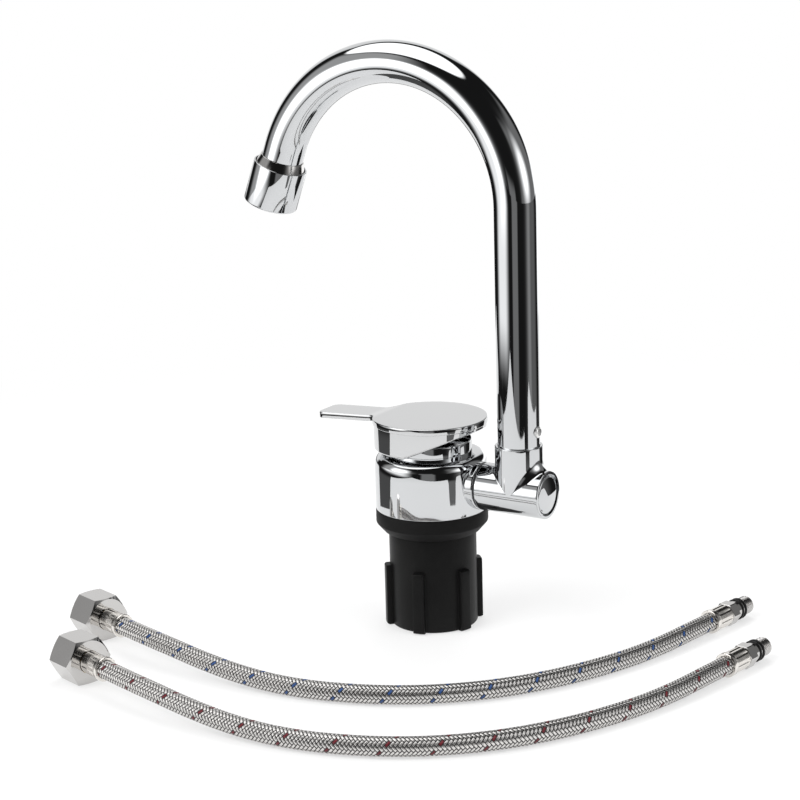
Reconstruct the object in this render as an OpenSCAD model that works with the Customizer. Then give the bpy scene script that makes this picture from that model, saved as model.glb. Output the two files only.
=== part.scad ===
// Folding single-lever caravan tap, with the two braided hoses that belong to it.
// The origin lies on the tap's axis in the plane of the worktop and +Z points up.
// +X runs along the fold hinge, from the body to the hinge's end cap, so the
// lever's arm and the spout's outlet both point to -X.

/* [Body] */
// Diameter of the tap body
body_d = 50; // [45:0.5:54]
// Height of the body above its gasket
body_h = 25; // [24:0.2:27]
// Bevel round the body's top edge
body_bevel = 3; // [0.5:0.1:3.6]
// Height of the body's floor under the cartridge
floor_h = 6.8; // [6.4:0.2:8]
// Diameter of the block that carries the two inlets
inlet_block_d = 26.4; // [25:0.2:27]
// How far the inlet block hangs below the worktop
inlet_block_drop = 4; // [2:0.5:8]
// Distance from one inlet to the other
inlet_spacing = 13; // [12:0.5:14]
// Core diameter of the M8 x 1 inlet thread
inlet_core_d = 7; // [6.5:0.1:7.5]
// Depth of the inlet thread
inlet_depth = 12; // [9:0.5:13]
// Diameter of the waterways
waterway_d = 5; // [3:0.5:6]

/* [Worktop fixing] */
// Thickness of the rubber gasket
gasket_h = 10.2; // [9:0.2:13]
// Height of the bevel under the gasket's rim
gasket_bevel_h = 4; // [2:0.2:6]
// Width of the flat ring that the gasket stands on
gasket_foot_w = 1.7; // [1:0.1:2.4]
// Depth of the recess under the gasket that takes the clamp nut
gasket_recess_h = 2; // [1:0.2:4]
// Outside diameter of the threaded shank
shank_d = 33; // [32:0.5:33.5]
// Wall of the threaded shank
shank_wall = 3; // [2:0.1:3]
// Length of the clamp nut
clamp_nut_l = 44.8; // [36:0.2:56]
// Wall of the clamp nut's sleeve
clamp_nut_wall = 2.7; // [2:0.1:2.9]
// Number of grip ribs on the clamp nut
rib_count = 6; // [4:1:8]
// Width of a grip rib
rib_w = 5.6; // [3:0.2:8]
// Height of a grip rib above the sleeve
rib_h = 2.5; // [1:0.1:4]
// Length of the grip ribs
rib_l = 27.7; // [12:0.1:34]
// Angle of the first rib round the tap's axis
rib_turn = -18; // [-60:1:60]
// How far the shank stands out below the clamp nut
shank_stand = 0.3; // [0.2:0.1:3]

/* [Cartridge] */
// Diameter of the ceramic cartridge
cartridge_d = 25; // [24:0.2:25.4]
// Wall of the cartridge housing
housing_wall = 1.7; // [1.2:0.1:2]
// Height of the lever pivot above the cartridge's underside
pivot_h = 19; // [19:0.2:20]
// Thickness of the cartridge base
cartridge_base_h = 2.5; // [2:0.1:2.8]
// Thickness of the fixed ceramic disc
fixed_disc_h = 3; // [2.4:0.1:3.2]
// Diameter of the moving ceramic disc
moving_disc_d = 14.4; // [13:0.1:15]
// Thickness of the moving ceramic disc
moving_disc_h = 2.8; // [2.2:0.1:2.9]
// Height of the carrier that pushes the moving disc
carrier_h = 4.2; // [4:0.1:4.3]
// Distance from the lever pivot down to the stem's ball
stem_arm = 8; // [7.8:0.1:8.2]
// Diameter of the stem's ball
stem_ball_d = 4.4; // [4:0.1:4.6]
// Width of the square stem
stem_w = 7; // [6:0.1:7.2]
// Diameter of the pin that the stem rocks on
stem_pin_d = 3; // [2:0.1:3.4]
// Outside diameter of the nut that holds the cartridge down
cartridge_nut_d = 30; // [29:0.1:34]
// Wall of the chromed cover round the cartridge's nut
cover_wall = 3.1; // [2.4:0.1:3.5]
// Height of the cover's straight side above the body
cover_side_h = 6.2; // [6:0.1:6.8]
// Height of the cover's sloped top
cover_top_h = 1; // [0.5:0.1:1.1]
// Diameter of the hole in the cover for the stem
cover_hole_d = 21; // [20:0.2:24]

/* [Lever] */
// Diameter of the lever's round plate
lever_d = 51; // [49:0.5:56]
// Thickness of the lever's plate
lever_plate_t = 2.8; // [2:0.1:3.2]
// Height of the lever's top above its pivot
lever_rise = 15.5; // [15.4:0.1:18]
// Reach of the lever's arm from the tap's axis
lever_reach = 55; // [50:1:80]
// Width of the lever's arm
lever_arm_w = 16; // [12:0.5:22]
// Angle by which the arm droops towards its tip
lever_droop = 4.5; // [0:0.5:6]
// Radius of the hollow between the arm and the round plate
lever_neck_r = 4; // [3:0.5:16]
// Corner radius of the arm's tip
lever_tip_r = 3.5; // [1:0.5:6]
// Diameter of the skirt under the round plate
skirt_d = 50; // [48:0.5:50.4]
// Wall of the skirt
skirt_wall = 2.5; // [1.5:0.1:3]
// Gap between the body's top and the skirt
skirt_gap = 2.3; // [1.8:0.1:3]
// Angle of the skirt's slanted cut
skirt_slant = 22.3; // [18:0.1:23.5]
// Distance from the axis, towards the spout, at which the slanted cut starts
skirt_slant_start = 0.9; // [-4:0.1:1.5]
// Width of the lever's hub
lever_hub_w = 12; // [10.4:0.2:14]
// Height of the lever's hub
lever_hub_h = 5.5; // [4.8:0.1:5.6]
// Diameter of the lever's grub screw
grub_d = 4; // [3:0.1:4.2]
// Length of the lever's grub screw
grub_l = 10; // [6:0.5:14]
// Diameter of the plug that hides the grub screw
plug_d = 5; // [4.6:0.1:5]

/* [Fold hinge] */
// Height of the hinge axis above the gasket
hinge_rise = 12.5; // [12.5:0.1:14]
// Diameter of the hinge barrel and of the spout socket
barrel_d = 21; // [20.6:0.1:22.4]
// Length of the hinge barrel
barrel_l = 31.2; // [28:0.1:36]
// How far the body's hinge boss stands out of the body
boss_proud = 1.6; // [1:0.1:4]
// Thickness of the dark washer between the boss and the barrel
hinge_washer_t = 0.8; // [0.5:0.1:1.5]
// Distance from the spout column's axis to the barrel's end
column_inset = 14.1; // [13.6:0.1:17]
// Diameter of the hinge spindle's journal
journal_d = 14; // [13.6:0.1:14.4]
// Diameter of the water chamber in the barrel
chamber_d = 18; // [17.2:0.1:18.4]
// Length of the water chamber
chamber_l = 10; // [9.4:0.1:10.4]
// Diameter of the bore through the spindle
spindle_bore_d = 7; // [5:0.2:7.6]
// Depth of the recess in the barrel's end
end_recess_l = 5; // [4.9:0.1:5.2]
// Diameter of the recess in the barrel's end
end_recess_d = 18.4; // [17.6:0.1:18.8]

/* [Spout] */
// Outside diameter of the spout tube
tube_d = 18.5; // [18.1:0.1:18.7]
// Wall of the spout tube
tube_wall = 1; // [0.8:0.1:1.2]
// Height of the arch's centre above the hinge axis
arch_rise = 123.5; // [90:0.5:150]
// Radius of the arch, to the middle of the tube
arch_r = 60.2; // [45:0.2:80]
// Angle that the arch turns through
arch_angle = 160; // [150:0.1:180]
// Height of the socket above the hinge axis
socket_h = 20.9; // [18:0.1:24]
// Height of the socket's floor above the hinge axis
socket_floor_h = 13.3; // [13:0.1:13.6]
// Diameter of the spigot that turns in the hinge piece
spigot_d = 12.5; // [12:0.1:13]
// Height of the spout's fixing screw above the socket
fixing_screw_h = 6.6; // [4:0.1:9]
// Diameter of the fixing screw's head
fixing_screw_d = 5; // [3:0.1:5]

/* [Outlet] */
// Outside diameter of the aerator collar
collar_d = 24.2; // [24:0.1:28]
// Length of the aerator collar
collar_l = 19; // [17.4:0.1:24]
// Wall of the collar's open rim
collar_wall = 0.7; // [0.5:0.1:0.8]
// Straight length of tube between the arch and the collar
collar_start = 8.5; // [0:0.1:12]
// Outside diameter of the threaded ring on the tube's end
outlet_ring_d = 21.2; // [20.6:0.1:21.4]
// Length of that threaded ring
outlet_ring_l = 8; // [5:0.1:9]
// Length of the cone above that ring
outlet_cone_l = 4.5; // [2:0.1:6]
// Thickness of the aerator's flat washer
aerator_washer_t = 1.4; // [1:0.1:2]
// Number of rings of holes in the aerator insert
aerator_rings = 3; // [1:1:3]

/* [Hoses] */
// Outside diameter of the braided hose
hose_d = 8; // [7:0.1:8.2]
// Width across the flats of the union nut
union_af = 19; // [18.6:0.2:22]
// Length of the union nut
union_l = 15; // [13.5:0.5:20]
// Core diameter of the union nut's G3/8 thread
union_core_d = 14.95; // [14.8:0.05:15.4]
// Length of hose held in a crimped ferrule
ferrule_grip = 10; // [7:0.5:13]
// Diameter of a ferrule's fluted length
ferrule_d = 9.6; // [9.6:0.1:10.2]
// Diameter of the ring at a ferrule's mouth
ferrule_ring_d = 10.4; // [10.2:0.1:11]
// Number of flutes round a ferrule
flute_count = 8; // [6:1:12]
// Width across the flats of the hose tail's hexagon
tail_af = 9.6; // [9.2:0.1:10.4]
// Length of the hose tail's hexagon
tail_hex_l = 5; // [3:0.5:8]
// Diameter of the tail's M8 x 1 thread
tail_thread_d = 8; // [7.6:0.1:8]
// Length of the tail's thread
tail_thread_l = 6.5; // [5:0.5:10]
// Angle at which the hoses lie in front of the tap
hose_lay_angle = 31; // [20:1:40]

/* [Clearances] */
// Radial clearance of a part that turns in a close bore
run_gap = 0.05; // [0.02:0.01:0.08]
// Radial clearance of a part that is fixed in a bore
seat_gap = 0.1; // [0.05:0.01:0.15]
// Gap between parts that pass each other
pass_gap = 0.3; // [0.3:0.05:0.35]
// Gap between faces that slide on each other
slide_gap = 0.1; // [0.05:0.01:0.12]

/* [Hidden] */
$fn = 72;
// Overshoot of a cut past the face that it opens
over = 1;
// Overlap of the arch and the tube's straight end, and the small step between them
joint_lap = 0.5;
joint_step = 0.02;
// Small bevel on turned edges
edge_bevel = 0.4;

// Heights, from the worktop up
body_top = gasket_h + body_h;
cartridge_z = gasket_h + floor_h;
hinge_z = gasket_h + hinge_rise;
pivot_z = cartridge_z + pivot_h;
lever_top = pivot_z + lever_rise;
plate_z = lever_top - lever_plate_t;
skirt_z = body_top + skirt_gap;
hub_z = plate_z - lever_hub_h;
grub_z = hub_z + plug_d / 2;
stem_top_z = plate_z - pass_gap;

// Worktop fixing
shank_r = shank_d / 2;
clamp_bore_r = shank_r + pass_gap;
clamp_r = clamp_bore_r + clamp_nut_wall;
recess_r = clamp_r + pass_gap;
clamp_top_z = gasket_recess_h - pass_gap;
clamp_bottom_z = clamp_top_z - clamp_nut_l;
shank_bottom_z = clamp_bottom_z - shank_stand;

// Cartridge
cartridge_r = cartridge_d / 2;
chamber_wall_r = cartridge_r + seat_gap;
housing_bore_r = cartridge_r - housing_wall;
housing_lip_h = 1.7;
housing_top_z = pivot_z;
housing_lip_z = housing_top_z - housing_lip_h;
rotor_neck_r = 8.8;
rotor_pin_cover = 1;
rotor_top_z = pivot_z + stem_pin_d / 2 + rotor_pin_cover;
fixed_disc_z = cartridge_z + cartridge_base_h;
moving_disc_z = fixed_disc_z + fixed_disc_h + slide_gap;
carrier_z = moving_disc_z + moving_disc_h;
rotor_z = carrier_z + carrier_h + pass_gap;
ball_z = pivot_z - stem_arm;
ball_pocket_gap = 0.25;
stem_neck_d = 3;
stem_block_drop = 4.5;
stem_block_z = pivot_z - stem_block_drop;
stem_pin_inset = 0.8;
stem_slot_gap = 0.2;
rotor_slot_l = 15;
cartridge_nut_lip = 1.5;
cartridge_nut_l = 10.2;
cartridge_nut_z = housing_top_z + cartridge_nut_lip - cartridge_nut_l;
port_r = inlet_spacing / 2;
outlet_port_x = 8;
seal_section_d = 1.2;
seal_squash = 0.3;
disc_port_d = waterway_d - 1;
disc_land = 2.2;

// Fold hinge
hinge_boss_x = body_d / 2 + boss_proud;
barrel_r = barrel_d / 2;
barrel_x = hinge_boss_x + hinge_washer_t + slide_gap;
cover_r = cartridge_nut_d / 2 + pass_gap + cover_wall;
barrel_end_x = barrel_x + barrel_l;
column_x = barrel_end_x - column_inset;
journal_r = journal_d / 2;
spindle_thread_step = 0.5;
spindle_thread_r = journal_r - spindle_thread_step;
spindle_end_wall = 1.4;
spindle_root_x = cartridge_nut_d / 2 + seat_gap + spindle_end_wall;
spindle_waist_r = 5;
spindle_tip_r = 5;
recess_x = barrel_end_x - end_recess_l;
thrust_washer_t = 0.6;
circlip_t = 0.8;
circlip_depth = 0.6;
clip_mouth = 3;
hinge_clip_proud = 1.4;
thrust_x = recess_x + slide_gap;
hinge_clip_x = thrust_x + thrust_washer_t + slide_gap;
clip_land = 0.5;
spindle_end_x = hinge_clip_x + circlip_t + clip_land;
journal_end_x = recess_x - slide_gap;
chamber_x = column_x - chamber_l / 2;
oring_d = 1.2;
oring_groove_half = 0.7 * oring_d;
hinge_seal_xs = [chamber_x - 2 * oring_d, journal_end_x - 1.25 * oring_d];
cap_x = spindle_end_x + pass_gap;
cap_bevel = 0.75;
cap_dome = 0.5;

// Spout
tube_r = tube_d / 2;
tube_bore_r = tube_r - tube_wall;
socket_top_z = hinge_z + socket_h;
socket_floor_z = hinge_z + socket_floor_h;
tube_bottom_z = socket_floor_z + slide_gap;
arch_z = hinge_z + arch_rise;
spigot_r = spigot_d / 2;
spigot_bore_r = 3.8;
swivel_ledge_z = hinge_z + chamber_d / 2;
swivel_clip_proud = 0.95;
swivel_clip_out_r = spigot_r + swivel_clip_proud;
swivel_clip_z = swivel_ledge_z - slide_gap - circlip_t;
spigot_land = 0.8;
spigot_bottom_z = swivel_clip_z - spigot_land;
swivel_oring_d = 1.3;
swivel_oring_z = (swivel_ledge_z + socket_floor_z) / 2;
fixing_screw_z = socket_top_z + fixing_screw_h;
sleeve_top_z = fixing_screw_z + fixing_screw_d;

// Outlet, measured down the tube from the end of the arch
collar_rim_l = 2;
outlet_ring_s = collar_start + collar_rim_l;
tube_end_s = outlet_ring_s + outlet_ring_l;
collar_end_s = collar_start + collar_l;
collar_r = collar_d / 2;
collar_lip_h = 1.2;
collar_lip_w = 1.6;
collar_thread_r = outlet_ring_d / 2 + seat_gap;
insert_s = tube_end_s + aerator_washer_t;
insert_r = collar_thread_r - seat_gap;
insert_hole_d = 1.6;
insert_pitch = 2.7;

// Hoses: the route's points lie in the hoses' own frame, with the height above
// the surface that the tap stands on. Each hose is the same length of the same make.
hose_r = hose_d / 2;
hose_sides = 10;
hose_route = [
    [-135, 81, 9.5], [-120, 64, 9.5], [-105, 49, 8.8], [-90, 36, 7.2], [-75, 25, 5.6],
    [-60, 16, 4.5], [-45, 9, 4.1], [-30, 4, 4.1], [-15, 1, 4.1], [0, 0, 4.1],
    [15, 1, 4.1], [30, 4, 4.1], [45, 9, 4.1], [60, 16, 4.1], [75, 25, 4.1],
    [90, 36, 4.1], [105, 49, 4.5], [120, 64, 5.3], [135, 81, 5.3]
];
cold_place = [-8, -100];
hot_place = [-8, -152];
ferrule_wall_l = 2;
ferrule_ring_l = 2.5;
flute_r = 0.5;
nipple_neck_r = 4.6;
nipple_bore_r = 2.5;
nipple_flange_t = 2;
nipple_gap = 0.4;
union_back_t = 3.2;
union_bevel = 1;
union_s = ferrule_wall_l + nipple_gap;
union_seat_s = union_s + union_back_t;
nipple_flange_s = union_seat_s + pass_gap;
nipple_flange_r = union_core_d / 2 - pass_gap - seat_gap;
nut_washer_s = nipple_flange_s + nipple_flange_t;
nut_washer_t = 2;
union_thread_s = nut_washer_s + nut_washer_t + pass_gap;
tail_s = ferrule_wall_l;
tail_neck_r = 4.2;
tail_neck_l = 6.5;
tail_neck_s = tail_s + tail_hex_l;
tail_thread_s = tail_neck_s + tail_neck_l;
tail_seal_d = 1.5;
tail_seal_pitch = 2.2;
tail_seal_proud = 0.55;
tail_seal_r = tail_neck_r + tail_seal_proud - tail_seal_d / 2;
tail_bevel = 0.6;

// Shared shapes

module ring(r_out, r_in, h) {
    difference() {
        cylinder(r = r_out, h = h);
        translate([0, 0, -over]) cylinder(r = r_in, h = h + 2 * over);
    }
}

// A solid of revolution about the hinge axis, from x0 to x1
module along_hinge(r, x0, x1) {
    translate([x0, 0, hinge_z]) rotate([0, 90, 0]) cylinder(r = r, h = x1 - x0);
}

module hinge_ring(r_out, r_in, x0, x1) {
    translate([x0, 0, hinge_z]) rotate([0, 90, 0]) ring(r_out, r_in, x1 - x0);
}

// A ring of round section, lying flat
module torus(r_mid, section_d) {
    rotate_extrude() translate([r_mid, 0]) circle(d = section_d, $fn = 32);
}

// A ring with a gap in it, as a snap ring has
module split_ring(r_out, r_in, h, gap) {
    difference() {
        ring(r_out, r_in, h);
        translate([-gap / 2, 0, -over]) cube([gap, r_out + over, h + 2 * over]);
    }
}

// A cylinder with its edges bevelled
module bevelled(r, h, bevel_low, bevel_high) {
    rotate_extrude() polygon([
        [0, 0], [r - bevel_low, 0], [r, bevel_low],
        [r, h - bevel_high], [r - bevel_high, h], [0, h]
    ]);
}

module hexagon(af, h) {
    rotate([0, 0, 30]) cylinder(d = af / cos(30), h = h, $fn = 6);
}

// Places a shape at the end of the arch, with -Z running on down the tube
module at_outlet(s) {
    translate([column_x - arch_r, 0, arch_z])
        rotate([0, -arch_angle, 0]) translate([arch_r, 0, 0]) rotate([0, 180, 0])
            translate([0, 0, -s]) children();
}

// Body

module tap_body() {
    boss_root_x = cover_r + pass_gap;
    waterway_floor = 1;
    outlet_z = gasket_h + waterway_d / 2 + waterway_floor;
    outlet_x = spindle_root_x + waterway_d / 2;
    color("gainsboro") difference() {
        union() {
            translate([0, 0, gasket_h]) bevelled(body_d / 2, body_h, edge_bevel, body_bevel);
            translate([boss_root_x, 0, hinge_z]) rotate([0, 90, 0])
                bevelled(barrel_r, hinge_boss_x - boss_root_x, edge_bevel, 2 * edge_bevel);
            translate([0, 0, -inlet_block_drop])
                cylinder(d = inlet_block_d, h = gasket_h + inlet_block_drop + over);
        }
        translate([0, 0, cartridge_z]) cylinder(r = chamber_wall_r, h = body_h);
        translate([0, 0, cartridge_nut_z - pass_gap])
            cylinder(r = cartridge_nut_d / 2 + seat_gap, h = body_h);
        along_hinge(spindle_thread_r + seat_gap, spindle_root_x, hinge_boss_x + over);
        for (side = [-1, 1]) translate([0, side * port_r, 0]) {
            translate([0, 0, -inlet_block_drop - over])
                cylinder(d = inlet_core_d, h = inlet_depth + over);
            translate([0, 0, -inlet_block_drop])
                cylinder(d = waterway_d, h = cartridge_z + inlet_block_drop + over);
        }
        translate([outlet_port_x, 0, outlet_z])
            cylinder(d = waterway_d, h = cartridge_z - outlet_z + over);
        translate([outlet_port_x, 0, outlet_z]) rotate([0, 90, 0])
            cylinder(d = waterway_d, h = outlet_x - outlet_port_x);
        translate([outlet_x, 0, outlet_z]) cylinder(d = waterway_d, h = hinge_z - outlet_z);
    }
}

// Cartridge

module cartridge_cover() {
    bore_r = cover_r - cover_wall;
    hole_r = cover_hole_d / 2;
    color("gainsboro") translate([0, 0, body_top]) rotate_extrude() polygon([
        [bore_r, 0], [cover_r, 0], [cover_r, cover_side_h],
        [hole_r, cover_side_h + cover_top_h], [hole_r, cover_side_h + cover_top_h - cover_wall / 2],
        [bore_r, cover_side_h - cover_wall / 2]
    ]);
}

module cartridge_nut() {
    nut_r = cartridge_nut_d / 2;
    slot_w = 4;
    color("goldenrod") translate([0, 0, cartridge_nut_z]) difference() {
        cylinder(r = nut_r, h = cartridge_nut_l);
        translate([0, 0, -over])
            cylinder(r = chamber_wall_r, h = cartridge_nut_l - cartridge_nut_lip + over);
        cylinder(r = rotor_neck_r + 2 * pass_gap, h = cartridge_nut_l + over);
        for (turn = [0, 90]) rotate([0, 0, turn])
            translate([-nut_r - over, -slot_w / 2, cartridge_nut_l - cartridge_nut_lip / 2])
                cube([2 * nut_r + 2 * over, slot_w, cartridge_nut_lip]);
    }
}

module cartridge_housing() {
    housing_h = housing_top_z - fixed_disc_z;
    color("whitesmoke") translate([0, 0, fixed_disc_z]) difference() {
        cylinder(r = cartridge_r, h = housing_h);
        translate([0, 0, -over]) cylinder(r = housing_bore_r, h = housing_h - housing_lip_h + over);
        cylinder(r = rotor_neck_r + run_gap, h = housing_h + over);
    }
}

// The three places where water passes the cartridge's base
module at_ports() {
    for (side = [-1, 1]) translate([0, side * port_r, 0]) children();
    translate([outlet_port_x, 0, 0]) children();
}

module cartridge_base() {
    seat_h = seal_section_d - seal_squash;
    color("whitesmoke") translate([0, 0, cartridge_z]) difference() {
        cylinder(r = cartridge_r, h = cartridge_base_h);
        at_ports() {
            translate([0, 0, -over]) cylinder(d = waterway_d, h = cartridge_base_h + 2 * over);
            translate([0, 0, -over])
                cylinder(d = waterway_d + 2 * seal_section_d, h = seat_h + over);
        }
    }
}

// Three flat rubber rings under the cartridge's ports
module cartridge_seals() {
    seat_h = seal_section_d - seal_squash;
    color("dimgray") translate([0, 0, cartridge_z]) at_ports()
        ring(waterway_d / 2 + seal_section_d - seat_gap, waterway_d / 2, seat_h);
}

module fixed_disc() {
    color("white") translate([0, 0, fixed_disc_z]) difference() {
        cylinder(r = housing_bore_r - seat_gap, h = fixed_disc_h);
        at_ports() translate([0, 0, -over])
            cylinder(d = disc_port_d, h = fixed_disc_h + 2 * over);
    }
}

// The moving disc has a hollow underneath that joins the ports
module moving_disc() {
    hollow_r = moving_disc_d / 2 - disc_land;
    color("white") translate([0, 0, moving_disc_z]) difference() {
        cylinder(d = moving_disc_d, h = moving_disc_h);
        translate([0, 0, -over]) cylinder(r = hollow_r, h = moving_disc_h / 2 + over);
    }
}

module disc_carrier() {
    pocket_r = stem_ball_d / 2 + ball_pocket_gap;
    pocket_z = ball_z - stem_ball_d / 2 - ball_pocket_gap;
    color("darkslategray") difference() {
        translate([0, 0, carrier_z]) cylinder(d = moving_disc_d, h = carrier_h);
        translate([0, 0, pocket_z]) cylinder(r = pocket_r, h = carrier_z + carrier_h);
    }
}

module cartridge_rotor() {
    slot_w = stem_w + 2 * stem_slot_gap;
    flange_r = housing_bore_r - pass_gap;
    color("whitesmoke") difference() {
        union() {
            translate([0, 0, rotor_z])
                cylinder(r = flange_r, h = housing_lip_z - slide_gap - rotor_z);
            translate([0, 0, rotor_z]) cylinder(r = rotor_neck_r, h = rotor_top_z - rotor_z);
        }
        translate([-rotor_slot_l / 2, -slot_w / 2, rotor_z - over])
            cube([rotor_slot_l, slot_w, rotor_top_z - rotor_z + 2 * over]);
        translate([0, 0, pivot_z]) rotate([90, 0, 0])
            cylinder(r = stem_pin_d / 2 + run_gap, h = 2 * rotor_neck_r, center = true);
    }
}

module stem_pin() {
    pin_l = 2 * (rotor_neck_r - stem_pin_inset);
    color("silver") translate([0, 0, pivot_z]) rotate([90, 0, 0])
        cylinder(d = stem_pin_d, h = pin_l, center = true);
}

module cartridge_stem() {
    color("silver") difference() {
        union() {
            translate([0, 0, ball_z]) sphere(d = stem_ball_d);
            translate([0, 0, ball_z]) cylinder(d = stem_neck_d, h = stem_block_z - ball_z + over);
            translate([-stem_w / 2, -stem_w / 2, stem_block_z])
                cube([stem_w, stem_w, stem_top_z - stem_block_z]);
        }
        translate([0, 0, pivot_z]) rotate([90, 0, 0])
            cylinder(r = stem_pin_d / 2 + run_gap, h = 2 * stem_w, center = true);
    }
}

// Lever

// Plan of the round plate and the arm, with a hollow neck on each side between them
module lever_plan() {
    plate_r = lever_d / 2;
    half_w = lever_arm_w / 2;
    straight_w = lever_arm_w - 2 * lever_tip_r;
    tip_x = -lever_reach + lever_tip_r;
    neck_y = half_w + lever_neck_r;
    neck_x = -sqrt(pow(plate_r + lever_neck_r, 2) - neck_y * neck_y);
    circle(r = plate_r);
    for (side = [-1, 1]) scale([1, side]) {
        difference() {
            polygon([[0, 0], [neck_x, 0], [neck_x, half_w], [neck_x, neck_y]]);
            translate([neck_x, neck_y]) circle(r = lever_neck_r);
        }
        translate([tip_x, straight_w / 2]) circle(r = lever_tip_r);
    }
    translate([tip_x, -half_w]) square([neck_x - tip_x, lever_arm_w]);
    translate([-lever_reach, -straight_w / 2]) square([lever_reach + neck_x, straight_w]);
}

// Side view of the plate and the arm: flat over the body, then drooping to the tip
module lever_side() {
    droop_inset = 5;
    bend_x = -lever_d / 2 + droop_inset;
    low_bend_x = bend_x + lever_plate_t * tan(lever_droop / 2);
    end_x = -lever_reach - over;
    top_end_z = lever_top - (bend_x - end_x) * tan(lever_droop);
    low_end_z = plate_z - (low_bend_x - end_x) * tan(lever_droop);
    polygon([
        [lever_d, lever_top], [bend_x, lever_top], [end_x, top_end_z],
        [end_x, low_end_z], [low_bend_x, plate_z], [lever_d, plate_z]
    ]);
}

module lever_blade() {
    intersection() {
        linear_extrude(2 * lever_top) lever_plan();
        translate([0, lever_d, 0]) rotate([90, 0, 0]) linear_extrude(2 * lever_d) lever_side();
    }
}

// The skirt, with its lower edge cut away on a slant towards the spout
module lever_skirt() {
    skirt_r = skirt_d / 2;
    skirt_h = plate_z - skirt_z;
    difference() {
        translate([0, 0, skirt_z]) ring(skirt_r, skirt_r - skirt_wall, skirt_h + lever_plate_t / 2);
        translate([skirt_slant_start, 0, skirt_z]) rotate([0, -skirt_slant, 0])
            translate([0, -skirt_d, -skirt_d]) cube([2 * skirt_d, 2 * skirt_d, skirt_d]);
    }
}

module lever() {
    hub_front_wall = 2.2;
    hub_front_x = stem_w / 2 + hub_front_wall;
    hub_back_x = skirt_d / 2 - skirt_wall / 2;
    color("silver") difference() {
        union() {
            lever_blade();
            lever_skirt();
            translate([-hub_back_x, -lever_hub_w / 2, hub_z])
                cube([hub_back_x + hub_front_x, lever_hub_w, lever_hub_h + lever_plate_t / 2]);
        }
        translate([-stem_w / 2 - run_gap, -stem_w / 2 - run_gap, hub_z - over])
            cube([stem_w + 2 * run_gap, stem_w + 2 * run_gap, stem_top_z + pass_gap / 2 - hub_z + over]);
        translate([0, 0, grub_z]) rotate([0, -90, 0])
            cylinder(r = grub_d / 2 + run_gap, h = skirt_d / 2);
        translate([-skirt_d / 2 + skirt_wall, 0, grub_z]) rotate([0, -90, 0])
            cylinder(r = plug_d / 2 + run_gap, h = skirt_wall + over);
    }
}

module lever_grub_screw() {
    socket_d = grub_d / 2;
    color("dimgray") translate([-stem_w / 2, 0, grub_z]) rotate([0, -90, 0]) difference() {
        cylinder(d = grub_d, h = grub_l);
        translate([0, 0, grub_l / 2]) hexagon(socket_d, grub_l);
    }
}

module lever_plug() {
    color("darkgray") translate([-skirt_d / 2 + skirt_wall, 0, grub_z]) rotate([0, -90, 0])
        bevelled(plug_d / 2, skirt_wall, edge_bevel / 2, edge_bevel);
}

// Worktop fixing

module base_gasket() {
    rim_r = body_d / 2;
    color("black") rotate_extrude() polygon([
        [shank_r + pass_gap, gasket_recess_h], [recess_r, gasket_recess_h], [recess_r, 0],
        [recess_r + gasket_foot_w, 0], [rim_r, gasket_bevel_h], [rim_r, gasket_h],
        [shank_r + pass_gap, gasket_h]
    ]);
}

module threaded_shank() {
    color("black") translate([0, 0, shank_bottom_z])
        ring(shank_r, shank_r - shank_wall, gasket_h - shank_bottom_z);
}

module clamp_nut() {
    rib_r = clamp_r + rib_h;
    color("black") translate([0, 0, clamp_bottom_z]) difference() {
        union() {
            cylinder(r = clamp_r, h = clamp_nut_l);
            linear_extrude(rib_l) intersection() {
                circle(r = rib_r);
                for (turn = [0:rib_count - 1]) rotate(rib_turn + turn * 360 / rib_count)
                    translate([0, -rib_w / 2]) square([rib_r + over, rib_w]);
            }
        }
        translate([0, 0, -over]) cylinder(r = clamp_bore_r, h = clamp_nut_l + 2 * over);
    }
}

// Fold hinge

// The hollow spindle that the spout folds on, screwed into the body's boss
module hinge_spindle() {
    groove_r = journal_r - oring_d;
    color("goldenrod") difference() {
        union() {
            along_hinge(spindle_thread_r, spindle_root_x + pass_gap, hinge_boss_x);
            along_hinge(journal_r, hinge_boss_x, chamber_x);
            along_hinge(spindle_waist_r, chamber_x, chamber_x + chamber_l);
            along_hinge(journal_r, chamber_x + chamber_l, journal_end_x);
            along_hinge(spindle_tip_r, journal_end_x, spindle_end_x);
        }
        along_hinge(spindle_bore_d / 2, spindle_root_x - over, chamber_x + chamber_l);
        for (x = hinge_seal_xs)
            hinge_ring(journal_r + over, groove_r, x - oring_groove_half, x + oring_groove_half);
        hinge_ring(spindle_tip_r + over, spindle_tip_r - circlip_depth,
            hinge_clip_x - slide_gap, hinge_clip_x + circlip_t + slide_gap);
        for (turn = [0, 90]) translate([column_x, 0, hinge_z]) rotate([turn, 0, 0])
            cylinder(d = waterway_d, h = journal_d, center = true);
    }
}

module hinge_seals() {
    for (x = hinge_seal_xs) color("dimgray") translate([x, 0, hinge_z]) rotate([0, 90, 0])
        torus(journal_r - oring_d / 2, oring_d - run_gap);
}

module hinge_washer() {
    color("black") hinge_ring(barrel_r - edge_bevel, journal_r + seat_gap,
        hinge_boss_x, hinge_boss_x + hinge_washer_t);
}

module hinge_thrust_washer() {
    color("silver") hinge_ring(end_recess_d / 2 - pass_gap, spindle_tip_r + seat_gap,
        thrust_x, thrust_x + thrust_washer_t);
}

module hinge_circlip() {
    color("dimgray") translate([hinge_clip_x, 0, hinge_z]) rotate([0, 90, 0])
        split_ring(spindle_tip_r + hinge_clip_proud, spindle_tip_r - circlip_depth + seat_gap,
            circlip_t, clip_mouth);
}

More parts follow.
